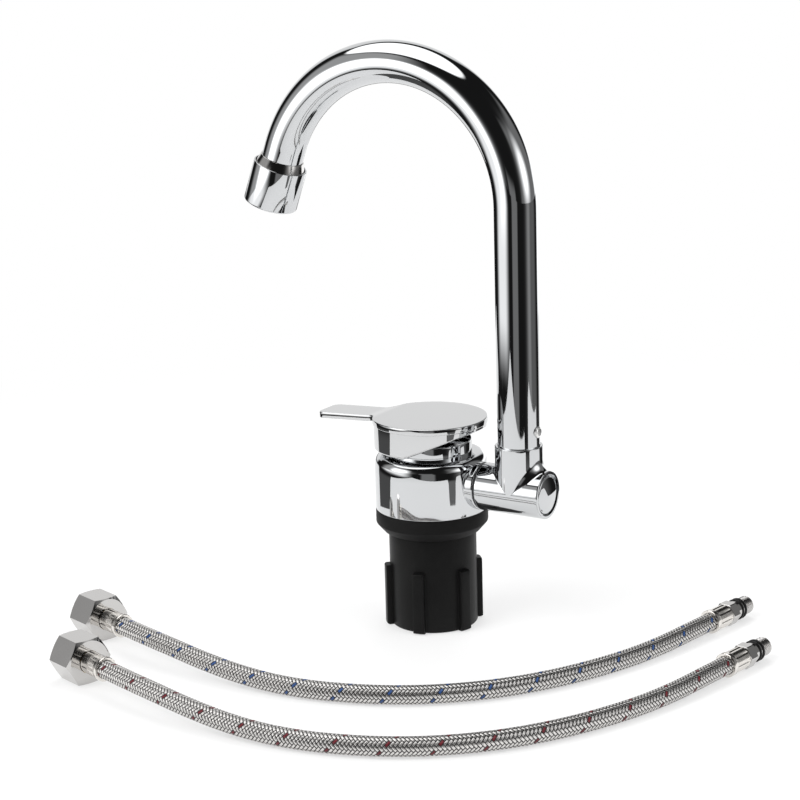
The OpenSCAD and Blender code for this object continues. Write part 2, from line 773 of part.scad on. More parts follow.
// The hinge piece: a barrel that turns on the spindle, and the socket for the spout
module hinge_tee() {
    color("gainsboro") difference() {
        union() {
            translate([barrel_x, 0, hinge_z]) rotate([0, 90, 0])
                bevelled(barrel_r, barrel_l, edge_bevel, edge_bevel);
            translate([column_x, 0, hinge_z]) bevelled(barrel_r, socket_h, 0, edge_bevel);
        }
        along_hinge(journal_r + run_gap, barrel_x - over, barrel_end_x);
        along_hinge(chamber_d / 2, chamber_x, chamber_x + chamber_l);
        along_hinge(end_recess_d / 2, recess_x, barrel_end_x + over);
        translate([column_x, 0, socket_floor_z]) cylinder(r = tube_r + run_gap, h = socket_h);
        translate([column_x, 0, swivel_ledge_z - over])
            cylinder(r = spigot_r + run_gap, h = socket_h);
        translate([column_x, 0, hinge_z])
            cylinder(r = spigot_r + pass_gap, h = swivel_ledge_z - hinge_z);
        translate([column_x, 0, swivel_clip_z - pass_gap])
            cylinder(r = swivel_clip_out_r + pass_gap, h = swivel_ledge_z - swivel_clip_z + pass_gap);
    }
}

// The cap that closes the barrel: a plug with a bevelled, slightly domed face
module hinge_end_cap() {
    cap_r = end_recess_d / 2 - run_gap;
    disc_r = cap_r - cap_bevel;
    rim_h = barrel_end_x - cap_bevel - cap_x;
    face_h = barrel_end_x - cap_x;
    color("gainsboro") translate([cap_x, 0, hinge_z]) rotate([0, 90, 0])
        rotate_extrude() polygon([
            [0, 0], [cap_r, 0], [cap_r, rim_h - cap_bevel], [disc_r, rim_h],
            [disc_r - cap_bevel, face_h], [disc_r / 2, face_h + 0.8 * cap_dome],
            [0, face_h + cap_dome]
        ]);
}

// Spout

// The path of the tube, filled to a given radius: column, arch and outlet
module spout_path(r, low_z, end_s) {
    translate([column_x, 0, low_z]) cylinder(r = r, h = arch_z - low_z);
    translate([column_x - arch_r, 0, arch_z]) rotate([90, 0, 0])
        rotate_extrude(angle = arch_angle) translate([arch_r, 0]) circle(r = r);
    at_outlet(end_s) cylinder(r = r - joint_step, h = end_s + joint_lap);
}

module spout_tube() {
    color("gainsboro") difference() {
        spout_path(tube_r, tube_bottom_z, tube_end_s);
        spout_path(tube_bore_r, tube_bottom_z - over, tube_end_s + over);
        translate([column_x, 0, fixing_screw_z]) rotate([0, 90, 0])
            cylinder(d = fixing_screw_d / 2 + 2 * run_gap, h = tube_d);
    }
}

// The brass sleeve inside the tube's foot, whose spigot turns in the hinge piece
module swivel_sleeve() {
    groove_r = spigot_r - swivel_oring_d;
    color("goldenrod") translate([column_x, 0, 0]) difference() {
        union() {
            translate([0, 0, tube_bottom_z])
                cylinder(r = tube_bore_r - seat_gap, h = sleeve_top_z - tube_bottom_z);
            translate([0, 0, spigot_bottom_z])
                cylinder(r = spigot_r, h = tube_bottom_z - spigot_bottom_z + over);
        }
        translate([0, 0, spigot_bottom_z - over])
            cylinder(r = spigot_bore_r, h = sleeve_top_z - spigot_bottom_z + 2 * over);
        translate([0, 0, swivel_oring_z - swivel_oring_d])
            ring(spigot_r + over, groove_r, 2 * swivel_oring_d);
        translate([0, 0, swivel_clip_z - slide_gap])
            ring(spigot_r + over, spigot_r - circlip_depth, circlip_t + 2 * slide_gap);
        translate([0, 0, fixing_screw_z]) rotate([0, 90, 0])
            cylinder(d = fixing_screw_d / 2 + 2 * run_gap, h = tube_d);
    }
}

module swivel_seal() {
    color("dimgray") translate([column_x, 0, swivel_oring_z])
        torus(spigot_r - swivel_oring_d / 2, swivel_oring_d - run_gap);
}

module swivel_circlip() {
    color("dimgray") translate([column_x, 0, swivel_clip_z])
        split_ring(swivel_clip_out_r, spigot_r - circlip_depth + seat_gap, circlip_t, clip_mouth);
}

// The screw through the tube wall that holds the sleeve
module spout_fixing_screw() {
    head_h = 1.1;
    screw_l = tube_r - spigot_bore_r - pass_gap;
    color("whitesmoke") translate([column_x + tube_r, 0, fixing_screw_z]) rotate([0, 90, 0]) {
        bevelled(fixing_screw_d / 2, head_h, 0, edge_bevel);
        translate([0, 0, -screw_l]) cylinder(d = fixing_screw_d / 2, h = screw_l + head_h / 2);
    }
}

// Outlet

// The threaded ring, with a cone above it that fills the collar's open rim
module outlet_ring() {
    bore_r = tube_r + run_gap;
    thread_r = outlet_ring_d / 2;
    cone_r = collar_r - collar_wall - seat_gap;
    cone_edge = 1;
    cone_top = outlet_ring_l + cone_edge + outlet_cone_l;
    color("silver") at_outlet(tube_end_s) rotate_extrude() polygon([
        [bore_r, 0], [thread_r, 0], [thread_r, outlet_ring_l],
        [cone_r, outlet_ring_l], [cone_r, outlet_ring_l + cone_edge],
        [bore_r + edge_bevel, cone_top], [bore_r, cone_top]
    ]);
}

module aerator_collar() {
    rim_l = outlet_ring_s - collar_start + outlet_ring_l / 3;
    color("gainsboro") at_outlet(collar_end_s) difference() {
        bevelled(collar_r, collar_l, 2 * edge_bevel, edge_bevel / 2);
        translate([0, 0, collar_l - rim_l]) cylinder(r = collar_r - collar_wall, h = collar_l);
        translate([0, 0, collar_lip_h]) cylinder(r = collar_thread_r, h = collar_l);
        translate([0, 0, -over]) cylinder(r = collar_thread_r - collar_lip_w, h = collar_l);
    }
}

// The insert that mixes air into the water: rings of small holes in a plain disc
module aerator_insert() {
    insert_l = collar_end_s - collar_lip_h - insert_s;
    color("whitesmoke") at_outlet(collar_end_s - collar_lip_h) difference() {
        cylinder(r = insert_r, h = insert_l);
        translate([0, 0, -over]) cylinder(d = insert_hole_d, h = insert_l + 2 * over);
        for (loop = [1:aerator_rings]) for (turn = [0:6 * loop - 1])
            rotate([0, 0, turn * 60 / loop]) translate([loop * insert_pitch, 0, -over])
                cylinder(d = insert_hole_d, h = insert_l + 2 * over, $fn = 24);
    }
}

module aerator_washer() {
    color("dimgray") at_outlet(insert_s) ring(insert_r, tube_bore_r, aerator_washer_t);
}

// Hoses

// A route point in the tap's own frame
function hose_point(place, p) =
    let (x = p[0] + place[0], y = p[1] + place[1])
    [
        x * cos(hose_lay_angle) - y * sin(hose_lay_angle),
        x * sin(hose_lay_angle) + y * cos(hose_lay_angle),
        shank_bottom_z + p[2]
    ];

function hose_points(place) = [for (p = hose_route) hose_point(place, p)];

function unit(v) = v / norm(v);

// The tube's corners at one point: a ring square to the line between its neighbours
function hose_ring(points, i) =
    let (
        last = len(points) - 1,
        run = unit(points[min(i + 1, last)] - points[max(i - 1, 0)]),
        side = unit(cross([0, 0, 1], run)),
        up = cross(run, side)
    )
    [for (k = [0:hose_sides - 1])
        let (turn = 360 * k / hose_sides)
        points[i] + hose_r * (cos(turn) * side + sin(turn) * up)];

module hose_tube(place) {
    points = hose_points(place);
    last = len(points) - 1;
    corners = [for (i = [0:last]) each hose_ring(points, i)];
    function corner(i, k) = i * hose_sides + k % hose_sides;
    walls = [for (i = [0:last - 1]) for (k = [0:hose_sides - 1]) each [
        [corner(i, k), corner(i + 1, k + 1), corner(i, k + 1)],
        [corner(i, k), corner(i + 1, k), corner(i + 1, k + 1)]
    ]];
    start_face = [for (k = [0:hose_sides - 1]) corner(0, k)];
    end_face = [for (k = [0:hose_sides - 1]) corner(last, hose_sides - 1 - k)];
    polyhedron(points = corners, faces = concat([start_face, end_face], walls), convexity = 6);
}

// Places a shape on one end of a hose, with +Z running on out of the hose
module at_hose_end(place, end_point, inner_point) {
    tip = hose_point(place, end_point);
    run = tip - hose_point(place, inner_point);
    translate(tip) rotate([0, 0, atan2(run[1], run[0])]) rotate([0, 90, 0]) children();
}

module at_nut_end(place) {
    at_hose_end(place, hose_route[0], hose_route[1]) children();
}

module at_tail_end(place) {
    last = len(hose_route) - 1;
    at_hose_end(place, hose_route[last], hose_route[last - 1]) children();
}

// The steel ferrule that is crimped over the braid
module ferrule() {
    bore_r = hose_r + run_gap;
    fluted_l = ferrule_grip + ferrule_wall_l - ferrule_ring_l;
    difference() {
        union() {
            translate([0, 0, -ferrule_grip]) cylinder(d = ferrule_ring_d, h = ferrule_ring_l);
            translate([0, 0, ferrule_ring_l - ferrule_grip]) linear_extrude(fluted_l) difference() {
                circle(d = ferrule_d);
                for (turn = [0:flute_count - 1]) rotate(turn * 360 / flute_count)
                    translate([ferrule_d / 2 + flute_r / 4, 0]) circle(r = flute_r, $fn = 24);
            }
        }
        translate([0, 0, -ferrule_grip - over]) cylinder(r = bore_r, h = ferrule_grip + over);
        cylinder(r = nipple_bore_r, h = ferrule_wall_l + over);
    }
}

// The union nut, with a relief behind its thread where the washer and flange turn
module union_nut() {
    corner_r = union_af / 2 / cos(30);
    translate([0, 0, union_s]) difference() {
        intersection() {
            hexagon(union_af, union_l);
            bevelled(corner_r, union_l, union_bevel, union_bevel);
        }
        translate([0, 0, union_back_t]) cylinder(d = union_core_d, h = union_l);
        translate([0, 0, union_back_t])
            cylinder(r = union_core_d / 2 + pass_gap, h = union_thread_s - union_seat_s);
        translate([0, 0, -over]) cylinder(r = nipple_neck_r + pass_gap, h = union_l);
    }
}

module nut_nipple() {
    neck_l = nipple_flange_s - ferrule_wall_l;
    translate([0, 0, ferrule_wall_l]) difference() {
        union() {
            cylinder(r = nipple_neck_r, h = neck_l + over);
            translate([0, 0, neck_l]) cylinder(r = nipple_flange_r, h = nipple_flange_t);
        }
        translate([0, 0, -over])
            cylinder(r = nipple_bore_r, h = neck_l + nipple_flange_t + 2 * over);
    }
}

module nut_washer() {
    washer_step = 1;
    translate([0, 0, nut_washer_s])
        ring(nipple_flange_r, nipple_bore_r + washer_step, nut_washer_t);
}

// Heights of the two seal grooves along the tail
function tail_seal_ss() = [
    tail_thread_s - tail_seal_d / 2 - tail_seal_pitch,
    tail_thread_s - tail_seal_d / 2
];

module hose_tail() {
    groove_r = tail_seal_r - tail_seal_d / 2 - run_gap;
    tail_end_s = tail_thread_s + tail_thread_l;
    difference() {
        union() {
            translate([0, 0, tail_s]) hexagon(tail_af, tail_hex_l);
            translate([0, 0, tail_neck_s - over])
                cylinder(r = tail_neck_r, h = tail_neck_l + over);
            translate([0, 0, tail_thread_s - over])
                bevelled(tail_thread_d / 2, tail_thread_l + over, 0, tail_bevel);
        }
        for (s = tail_seal_ss()) translate([0, 0, s - tail_seal_d / 2])
            ring(tail_neck_r + over, groove_r, tail_seal_d);
        translate([0, 0, tail_s - over])
            cylinder(r = nipple_bore_r, h = tail_end_s - tail_s + 2 * over);
    }
}

module tail_seals() {
    for (s = tail_seal_ss()) translate([0, 0, s]) torus(tail_seal_r, tail_seal_d - run_gap);
}

module cold_hose() { color("lightsteelblue") hose_tube(cold_place); }
module cold_union_nut() { color("silver") at_nut_end(cold_place) union_nut(); }
module cold_nut_washer() { color("dimgray") at_nut_end(cold_place) nut_washer(); }
module cold_nut_nipple() { color("goldenrod") at_nut_end(cold_place) nut_nipple(); }
module cold_nut_ferrule() { color("silver") at_nut_end(cold_place) ferrule(); }
module cold_tail_ferrule() { color("silver") at_tail_end(cold_place) ferrule(); }
module cold_tail() { color("silver") at_tail_end(cold_place) hose_tail(); }
module cold_tail_seals() { color("black") at_tail_end(cold_place) tail_seals(); }

module hot_hose() { color("rosybrown") hose_tube(hot_place); }
module hot_union_nut() { color("silver") at_nut_end(hot_place) union_nut(); }
module hot_nut_washer() { color("dimgray") at_nut_end(hot_place) nut_washer(); }
module hot_nut_nipple() { color("goldenrod") at_nut_end(hot_place) nut_nipple(); }
module hot_nut_ferrule() { color("silver") at_nut_end(hot_place) ferrule(); }
module hot_tail_ferrule() { color("silver") at_tail_end(hot_place) ferrule(); }
module hot_tail() { color("silver") at_tail_end(hot_place) hose_tail(); }
module hot_tail_seals() { color("black") at_tail_end(hot_place) tail_seals(); }

tap_body();
cartridge_cover();
cartridge_nut();
cartridge_housing();
cartridge_base();
cartridge_seals();
fixed_disc();
moving_disc();
disc_carrier();
cartridge_rotor();
stem_pin();
cartridge_stem();
lever();
lever_grub_screw();
lever_plug();
base_gasket();
threaded_shank();
clamp_nut();
hinge_spindle();
hinge_seals();
hinge_washer();
hinge_thrust_washer();
hinge_circlip();
hinge_tee();
hinge_end_cap();
spout_tube();
swivel_sleeve();
swivel_seal();
swivel_circlip();
spout_fixing_screw();
outlet_ring();
aerator_collar();
aerator_insert();
aerator_washer();
cold_hose();
cold_union_nut();
cold_nut_washer();
cold_nut_nipple();
cold_nut_ferrule();
cold_tail_ferrule();
cold_tail();
cold_tail_seals();
hot_hose();
hot_union_nut();
hot_nut_washer();
hot_nut_nipple();
hot_nut_ferrule();
hot_tail_ferrule();
hot_tail();
hot_tail_seals();
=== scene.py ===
"""Folding caravan tap with its two braided hoses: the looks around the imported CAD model."""

import math

import bmesh
import bpy
import numpy as np
from mathutils import Matrix, Vector


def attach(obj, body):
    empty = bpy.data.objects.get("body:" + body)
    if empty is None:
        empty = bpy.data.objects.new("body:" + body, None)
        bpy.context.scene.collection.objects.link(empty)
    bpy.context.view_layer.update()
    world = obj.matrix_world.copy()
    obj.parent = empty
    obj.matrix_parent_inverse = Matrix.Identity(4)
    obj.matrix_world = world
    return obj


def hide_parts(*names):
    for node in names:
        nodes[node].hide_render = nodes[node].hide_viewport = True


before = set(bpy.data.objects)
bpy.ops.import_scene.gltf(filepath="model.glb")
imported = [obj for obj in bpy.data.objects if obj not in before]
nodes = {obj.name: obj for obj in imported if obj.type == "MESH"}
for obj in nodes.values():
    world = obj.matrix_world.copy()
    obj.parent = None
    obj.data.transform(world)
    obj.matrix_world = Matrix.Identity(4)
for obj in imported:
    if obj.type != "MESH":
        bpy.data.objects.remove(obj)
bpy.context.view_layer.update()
scene = bpy.context.scene
scene.view_settings.view_transform = "Standard"

# Camera
# A long lens in front of the hinge's end and a little above the tap. The frame is
# shifted a few percent, so that the tap and its hoses sit in it as in the photograph.
MM = 0.001
camera_azimuth = math.radians(31.361)
camera_elevation = math.radians(13.251)
camera_roll = math.radians(-1.381)
camera_distance = 933.6 * MM
camera_target = Vector((0, 0, 73.38 * MM))
toward_camera = Vector((math.sin(camera_azimuth), -math.cos(camera_azimuth), 0))
toward_right = Vector((math.cos(camera_azimuth), math.sin(camera_azimuth), 0))
camera_back = toward_camera * math.cos(camera_elevation) + Vector((0, 0, math.sin(camera_elevation)))
level_up = camera_back.cross(toward_right)
camera_right = toward_right * math.cos(camera_roll) + level_up * math.sin(camera_roll)
camera_up = camera_back.cross(camera_right)
camera_turn = Matrix((camera_right, camera_up, camera_back)).transposed().to_4x4()
lens = bpy.data.cameras.new("lens")
lens.sensor_width = 36
lens.lens = 95.74
lens.shift_x = -0.0359
lens.shift_y = -0.0411
camera = bpy.data.objects.new("camera", lens)
camera.matrix_world = Matrix.Translation(camera_target + camera_back * camera_distance) @ camera_turn
scene.collection.objects.link(camera)
scene.camera = camera

# Studio
# A white table and backdrop under soft lamps. Metal also sees a tent of black flags and
# white panels round the table, which the camera doesn't: they give the plate its bands.
table_z, half_table = -43.4 * MM, 4.0
ambient, backdrop_white = 0.5, 1.0
shadow_from, shadow_to, near_white = 0.2, 0.55, 0.55
lamp_white, flag_black = 1.9, 0.012
tent_radius, tent_height = 2.5, 0.1
veil_distance, veil_height = 0.6, 0.46
lamp_distance = 1.3
up = np.array([0, 0, 1])


def connect(tree, node, values):
    """Sets the node's sockets to these values, and links other nodes' outputs to them."""
    for socket, value in values.items():
        if isinstance(value, bpy.types.NodeSocket):
            tree.links.new(value, node.inputs[socket])
        else:
            node.inputs[socket].default_value = value


def added(tree, kind, values=(), **settings):
    """A new node of this kind, with settings of its own and values for its sockets."""
    node = tree.nodes.new(kind)
    for key, value in settings.items():
        setattr(node, key, value)
    connect(tree, node, dict(values))
    return node


def new_material(name):
    """A new material and its node tree."""
    made = bpy.data.materials.new(name)
    made.use_nodes = True
    return made, made.node_tree


def seen_rays(tree):
    """1 for camera, glossy and transmission rays and 0 for the rest: what sees the backdrop white."""
    rays = added(tree, "ShaderNodeLightPath").outputs
    total = rays["Is Camera Ray"]
    for name in ("Is Glossy Ray", "Is Transmission Ray"):
        total = added(tree, "ShaderNodeMath", {0: total, 1: rays[name]}, operation="MAXIMUM").outputs[0]
    return total


world = bpy.data.worlds.new("backdrop")
world.use_nodes = True
scene.world = world
sky = world.node_tree
sky_span = {"Value": seen_rays(sky), "To Min": ambient, "To Max": backdrop_white}
sky_level = added(sky, "ShaderNodeMapRange", sky_span)
connect(sky, sky.nodes["Background"], {"Color": (1, 1, 1, 1), "Strength": sky_level.outputs["Result"]})


def grid_quads(rows, columns, wrap):
    """Corner numbers of the quads of a grid of points, with its last column joined to the first if wrap is
    true."""
    across = columns if wrap else columns - 1
    r, c = np.meshgrid(np.arange(rows - 1), np.arange(across), indexing="ij")
    d = (c + 1) % columns
    corners = [r * columns + c, r * columns + d, (r + 1) * columns + d, (r + 1) * columns + c]
    return np.stack(corners, -1).reshape(-1, 4)


def quad_mesh(name, points, quads):
    """A mesh with these points and four-cornered faces."""
    mesh = bpy.data.meshes.new(name)
    mesh.vertices.add(len(points))
    mesh.vertices.foreach_set("co", np.ascontiguousarray(points, np.float32).ravel())
    mesh.loops.add(quads.size)
    mesh.loops.foreach_set("vertex_index", np.ascontiguousarray(quads, np.int32).ravel())
    mesh.polygons.add(len(quads))
    mesh.polygons.foreach_set("loop_start", np.arange(0, quads.size, 4, dtype=np.int32))
    mesh.update(calc_edges=True)
    return mesh


def shown(name, mesh, material):
    """A new object at the origin with this mesh and material."""
    mesh.materials.append(material)
    piece = bpy.data.objects.new(name, mesh)
    scene.collection.objects.link(piece)
    return piece


# The table keeps its shadows near the tap and is plain white further out.
table_stuff, tree = new_material("white_table")
tree.nodes.clear()
paper = added(tree, "ShaderNodeBsdfDiffuse", {"Color": (0.9, 0.9, 0.9, 1)})
white = added(tree, "ShaderNodeEmission")
where = added(tree, "ShaderNodeTexCoord")
far = added(tree, "ShaderNodeVectorMath", {0: where.outputs["Object"]}, operation="LENGTH")
far_span = {"Value": far.outputs["Value"], "From Min": shadow_from, "From Max": shadow_to}
plain = added(tree, "ShaderNodeMapRange", {**far_span, "To Min": near_white}, interpolation_type="SMOOTHSTEP")
share = added(tree, "ShaderNodeMath", {0: seen_rays(tree), 1: plain.outputs["Result"]}, operation="MULTIPLY")
layers = {0: share.outputs[0], 1: paper.outputs[0], 2: white.outputs[0]}
cover_all = added(tree, "ShaderNodeMixShader", layers)
added(tree, "ShaderNodeOutputMaterial", {"Surface": cover_all.outputs[0]})
table_ends = (-half_table, half_table)
table_points = np.array([[x, y, table_z] for x in table_ends for y in table_ends])
table = shown("table", quad_mesh("table", table_points, np.array([[0, 2, 3, 1]])), table_stuff)


def ease(value, low, high):
    """0 below low, 1 above high, and a smooth curve between."""
    t = np.clip((value - low) / (high - low), 0, 1)
    return t * t * (3 - 2 * t)


def band(value, low, high, soft):
    """1 from low to high, with smooth edges that are soft wide to each side."""
    return ease(value, low - soft, low + soft) * (1 - ease(value, high - soft, high + soft))


def hump(value, middle, width):
    """1 at the middle, falling off smoothly to both sides."""
    return np.exp(-(((value - middle) / width) ** 2))


def tent_glow(turn, rise):
    """Brightness of the tent by two angles in degrees, turn to the right of the camera's side and rise above
    the level: an oval panel overhead that reaches to the left, a lamp low at the left and one at the right,
    each in a pale halo, a grey wall behind, a white gap beside it and a faint strip under the camera. The
    rest is black."""
    reach = 1 / np.tan(np.radians(np.clip(rise, 5, 90)))
    to_front, to_right = reach * np.cos(np.radians(turn)), reach * np.sin(np.radians(turn))
    oval = np.hypot((to_front + 0.12) / 0.66, (to_right + 0.42) / 0.70)
    from_wall = (turn + 352) % 360 - 180
    return flag_black + np.maximum.reduce([
        lamp_white * (1 - ease(oval, 0.94, 1.04)),
        np.minimum(lamp_white, 2.6 * hump(turn, -70, 18) * hump(rise, 2, 14)),
        0.44 * band(turn, -112, -57, 9) * (1 - ease(rise, 37, 44)),
        np.minimum(lamp_white, 2.6 * hump(turn, 67, 18) * hump(rise, 13, 16)),
        0.20 * band(turn, 34, 126, 8) * (1 - ease(rise, 34, 48)),
        0.92 * band(from_wall, -30, 28, 5) * (1 - ease(rise, 39, 45)),
        1.6 * band(turn, 126, 172, 8) * (1 - ease(rise, 1, 9)),
        0.20 * band(turn, -25, 3, 3) * (1 - ease(rise, -2, 6)),
    ])


def surround_glow(turn, distance):
    """Brightness of the studio floor round the table: dark, with the light of the left lamp on it, a faint
    strip under the camera, a lit stretch and a dull field at the right, the white gap behind that, and two
    dull flags near the tap."""
    near = 1 - ease(distance, 0.30, 0.38)
    return flag_black + np.maximum.reduce([
        1.3 * band(turn, -110, -50, 14) * ease(distance, 0.43, 0.66),
        0.20 * band(turn, -20, 7, 3),
        0.30 * hump(turn, 66, 13),
        0.13 * band(turn, 60, 108, 10),
        1.5 * band(turn, 134, 172, 6) * ease(distance, 0.55, 0.75),
        near * (0.08 * band(turn, -145, -75, 8) + 0.16 * band(turn, 24, 58, 6)),
    ])


def table_reach(turn):
    """How far the white table goes: to the nearest of four straight sides, less a notch for each of three
    flags beside the tap. A side is its direction to the front and to the right and its distance, a flag its
    distance, its two ends and its softness."""
    t = np.radians(turn)
    sides = ((0.983, 0.188, 0.375), (0, -1, 0.36), (0, 1, 0.44), (-1, 0, 0.60))
    flags = ((0.185, -131, -86, 5), (0.20, 31, 50, 4), (0.25, 100, 136, 6))
    return np.minimum.reduce(
        [d / np.maximum(a * np.cos(t) + b * np.sin(t), 1e-3) for a, b, d in sides]
        + [near + 0.5 * (1 - band(turn, low, high, soft)) for near, low, high, soft in flags])


def studio_direction(turn, rise=0):
    """Unit vectors at these angles in degrees from the camera's side and above the level."""
    t, r = np.radians(turn)[..., None], np.radians(rise)[..., None]
    level = np.cos(t) * np.array(toward_camera) + np.sin(t) * np.array(toward_right)
    return np.cos(r) * level + np.sin(r) * up


def tent_sheet(name, points, glow, wrap=True, sheer=False):
    """A glowing stage sheet that only mirror-like surfaces see. A sheer one adds its light to what is behind
    it."""
    mesh = quad_mesh(name, points.reshape(-1, 3), grid_quads(*points.shape[:2], wrap))
    levels = mesh.attributes.new("glow", "FLOAT", "POINT")
    levels.data.foreach_set("value", np.ascontiguousarray(glow, np.float32).ravel())
    cloth, tree = new_material(name)
    tree.nodes.clear()
    reader = added(tree, "ShaderNodeAttribute", attribute_name="glow")
    light = added(tree, "ShaderNodeEmission", {"Strength": reader.outputs["Fac"]})
    if sheer:
        clear = added(tree, "ShaderNodeBsdfTransparent")
        light = added(tree, "ShaderNodeAddShader", {0: light.outputs[0], 1: clear.outputs[0]})
    added(tree, "ShaderNodeOutputMaterial", {"Surface": light.outputs[0]})
    sheet = shown(name, mesh, cloth)
    for rays in ("camera", "diffuse", "shadow", "transmission"):
        setattr(sheet, "visible_" + rays, False)


turns = np.linspace(-180, 180, 361)[:-1]
turn_grid, rise_grid = np.meshgrid(turns, np.linspace(-4, 90, 95))
tent_points = tent_height * up + tent_radius * studio_direction(turn_grid, rise_grid)
tent_sheet("tent", tent_points, tent_glow(turn_grid, rise_grid))

table_edge = table_reach(turns)
spread = np.linspace(0, 1, 60)[:, None] ** 1.6
distances = table_edge + (tent_radius - table_edge) * spread
turn_grid = np.broadcast_to(turns, distances.shape)
surround_points = distances[..., None] * studio_direction(turn_grid) + (table_z + 0.5 * MM) * up
tent_sheet("table_surround", surround_points, surround_glow(turn_grid, distances))

# The veil is a bright sheer cloth at the left, between the tap and the tent.
veil_turns, veil_heights = np.meshgrid(np.linspace(-100, -30, 71), np.linspace(0, veil_height, 47))
veil_points = veil_distance * studio_direction(veil_turns) + veil_heights[..., None] * up
veil_glow = 1.5 * band(veil_turns, -86, -48, 9) * band(veil_heights, 0.06, 0.36, 0.05)
tent_sheet("veil", veil_points, veil_glow, wrap=False, sheer=True)

softboxes = (("key", -60, 48, 0.9, 11), ("fill", 65, 38, 0.9, 7), ("back", 170, 55, 0.8, 6))
for name, turn, rise, size, power in softboxes:
    softbox = bpy.data.lights.new(name, "AREA")
    softbox.size = size
    softbox.energy = power
    lamp = bpy.data.objects.new(name, softbox)
    aim = Vector(studio_direction(turn, rise))
    lamp.location = aim * lamp_distance
    lamp.rotation_mode = "QUATERNION"
    lamp.rotation_quaternion = aim.to_track_quat("Z", "Y")
    lamp.visible_glossy = False
    scene.collection.objects.link(lamp)

# Braided hoses
# A rubber hose in a braid of stainless wire: twelve flat bundles wind each way, over two and
# under two of the others. One bundle has coloured threads, blue for cold and red for hot.
hose_radius = 4.0 * MM
lay_angle = math.radians(31)
route_step = np.arange(-9, 10)
route_height = np.array([9.5, 9.5, 8.8, 7.2, 5.6, 4.5] + [4.1] * 10 + [4.5, 5.3, 5.3]) * MM
hose_places = {"cold": (-8, -100), "hot": (-8, -152)}
thread_colours = {"cold": (0.025, 0.085, 0.27, 1), "hot": (0.16, 0.010, 0.018, 1)}
bundles, bundle_half, braid_pitch = 12, 0.44, 20 * MM
# The near-black second colour is painted shade for the braid's gaps and for where a bundle dips under.
wire_colour, painted_gap_shade, wire_half = (0.92, 0.90, 0.88, 1), (0.010, 0.010, 0.010, 1), 0.09


def hose_route(place):
    """The route's points: a bow in the hoses' own frame, x = 15 k and y = k squared, turned to lie across the
    view."""
    x = (15 * route_step + place[0]) * MM
    y = (route_step**2 + place[1]) * MM
    return np.stack([
        x * math.cos(lay_angle) - y * math.sin(lay_angle),
        x * math.sin(lay_angle) + y * math.cos(lay_angle),
        table_z + route_height,
    ], -1)


def smooth_line(points, count):
    """A cubic curve through the points, at each in the direction from the one before to the one after it,
    sampled at equal lengths."""
    p = np.concatenate([[2 * points[0] - points[1]], points, [2 * points[-1] - points[-2]]])
    t = np.linspace(0, 1, 40, endpoint=False)[None, :, None]
    a, b, c, d = (p[k:len(p) - 3 + k, None] for k in range(4))
    spans = 0.5 * (2 * b + (c - a) * t + (2 * a - 5 * b + 4 * c - d) * t**2 + (3 * b - a - 3 * c + d) * t**3)
    line = np.concatenate([spans.reshape(-1, 3), points[-1:]])
    run = np.concatenate([[0], np.cumsum(np.linalg.norm(np.diff(line, axis=0), axis=1))])
    even = np.linspace(0, run[-1], count)
    return np.stack([np.interp(even, run, line[:, k]) for k in range(3)], -1), even


def across_line(line):
    """Unit vectors to the side of and above a line that nowhere stands upright."""
    along = np.gradient(line, axis=0)
    along /= np.linalg.norm(along, axis=1)[:, None]
    side = np.cross(up, along)
    side /= np.linalg.norm(side, axis=1)[:, None]
    return side, np.cross(along, side)


def braid_weave(first, second):
    """How far the braid lies below the hose's radius, from each family's count of bundles at a point. A
    bundle is a flat arch that passes over two and under two of the other family along a cosine, and the
    higher one shows."""
    swing, crown = 0.14 * MM, 0.30 * MM
    over_first = swing * np.cos(np.pi / 2 * (second + np.floor(first) - 1))
    over_second = -swing * np.cos(np.pi / 2 * (first + np.floor(second) - 1))
    arches = [1 - ((count % 1 - 0.5) / bundle_half) ** 2 for count in (first, second)]
    arch_first, arch_second = crown * np.sqrt(np.clip(arches, 0, 1))
    return np.maximum(over_first + arch_first, over_second + arch_second) - crown - swing


def blended(tree, factor, low, high):
    """A colour between two others, each a colour or another node's output."""
    mix = added(tree, "ShaderNodeMix", {"Factor": factor}, data_type="RGBA")
    ends = [k for k, socket in enumerate(mix.inputs) if socket.enabled and socket.name in "AB"]
    connect(tree, mix, dict(zip(ends, (low, high))))
    return next(socket for socket in mix.outputs if socket.enabled)


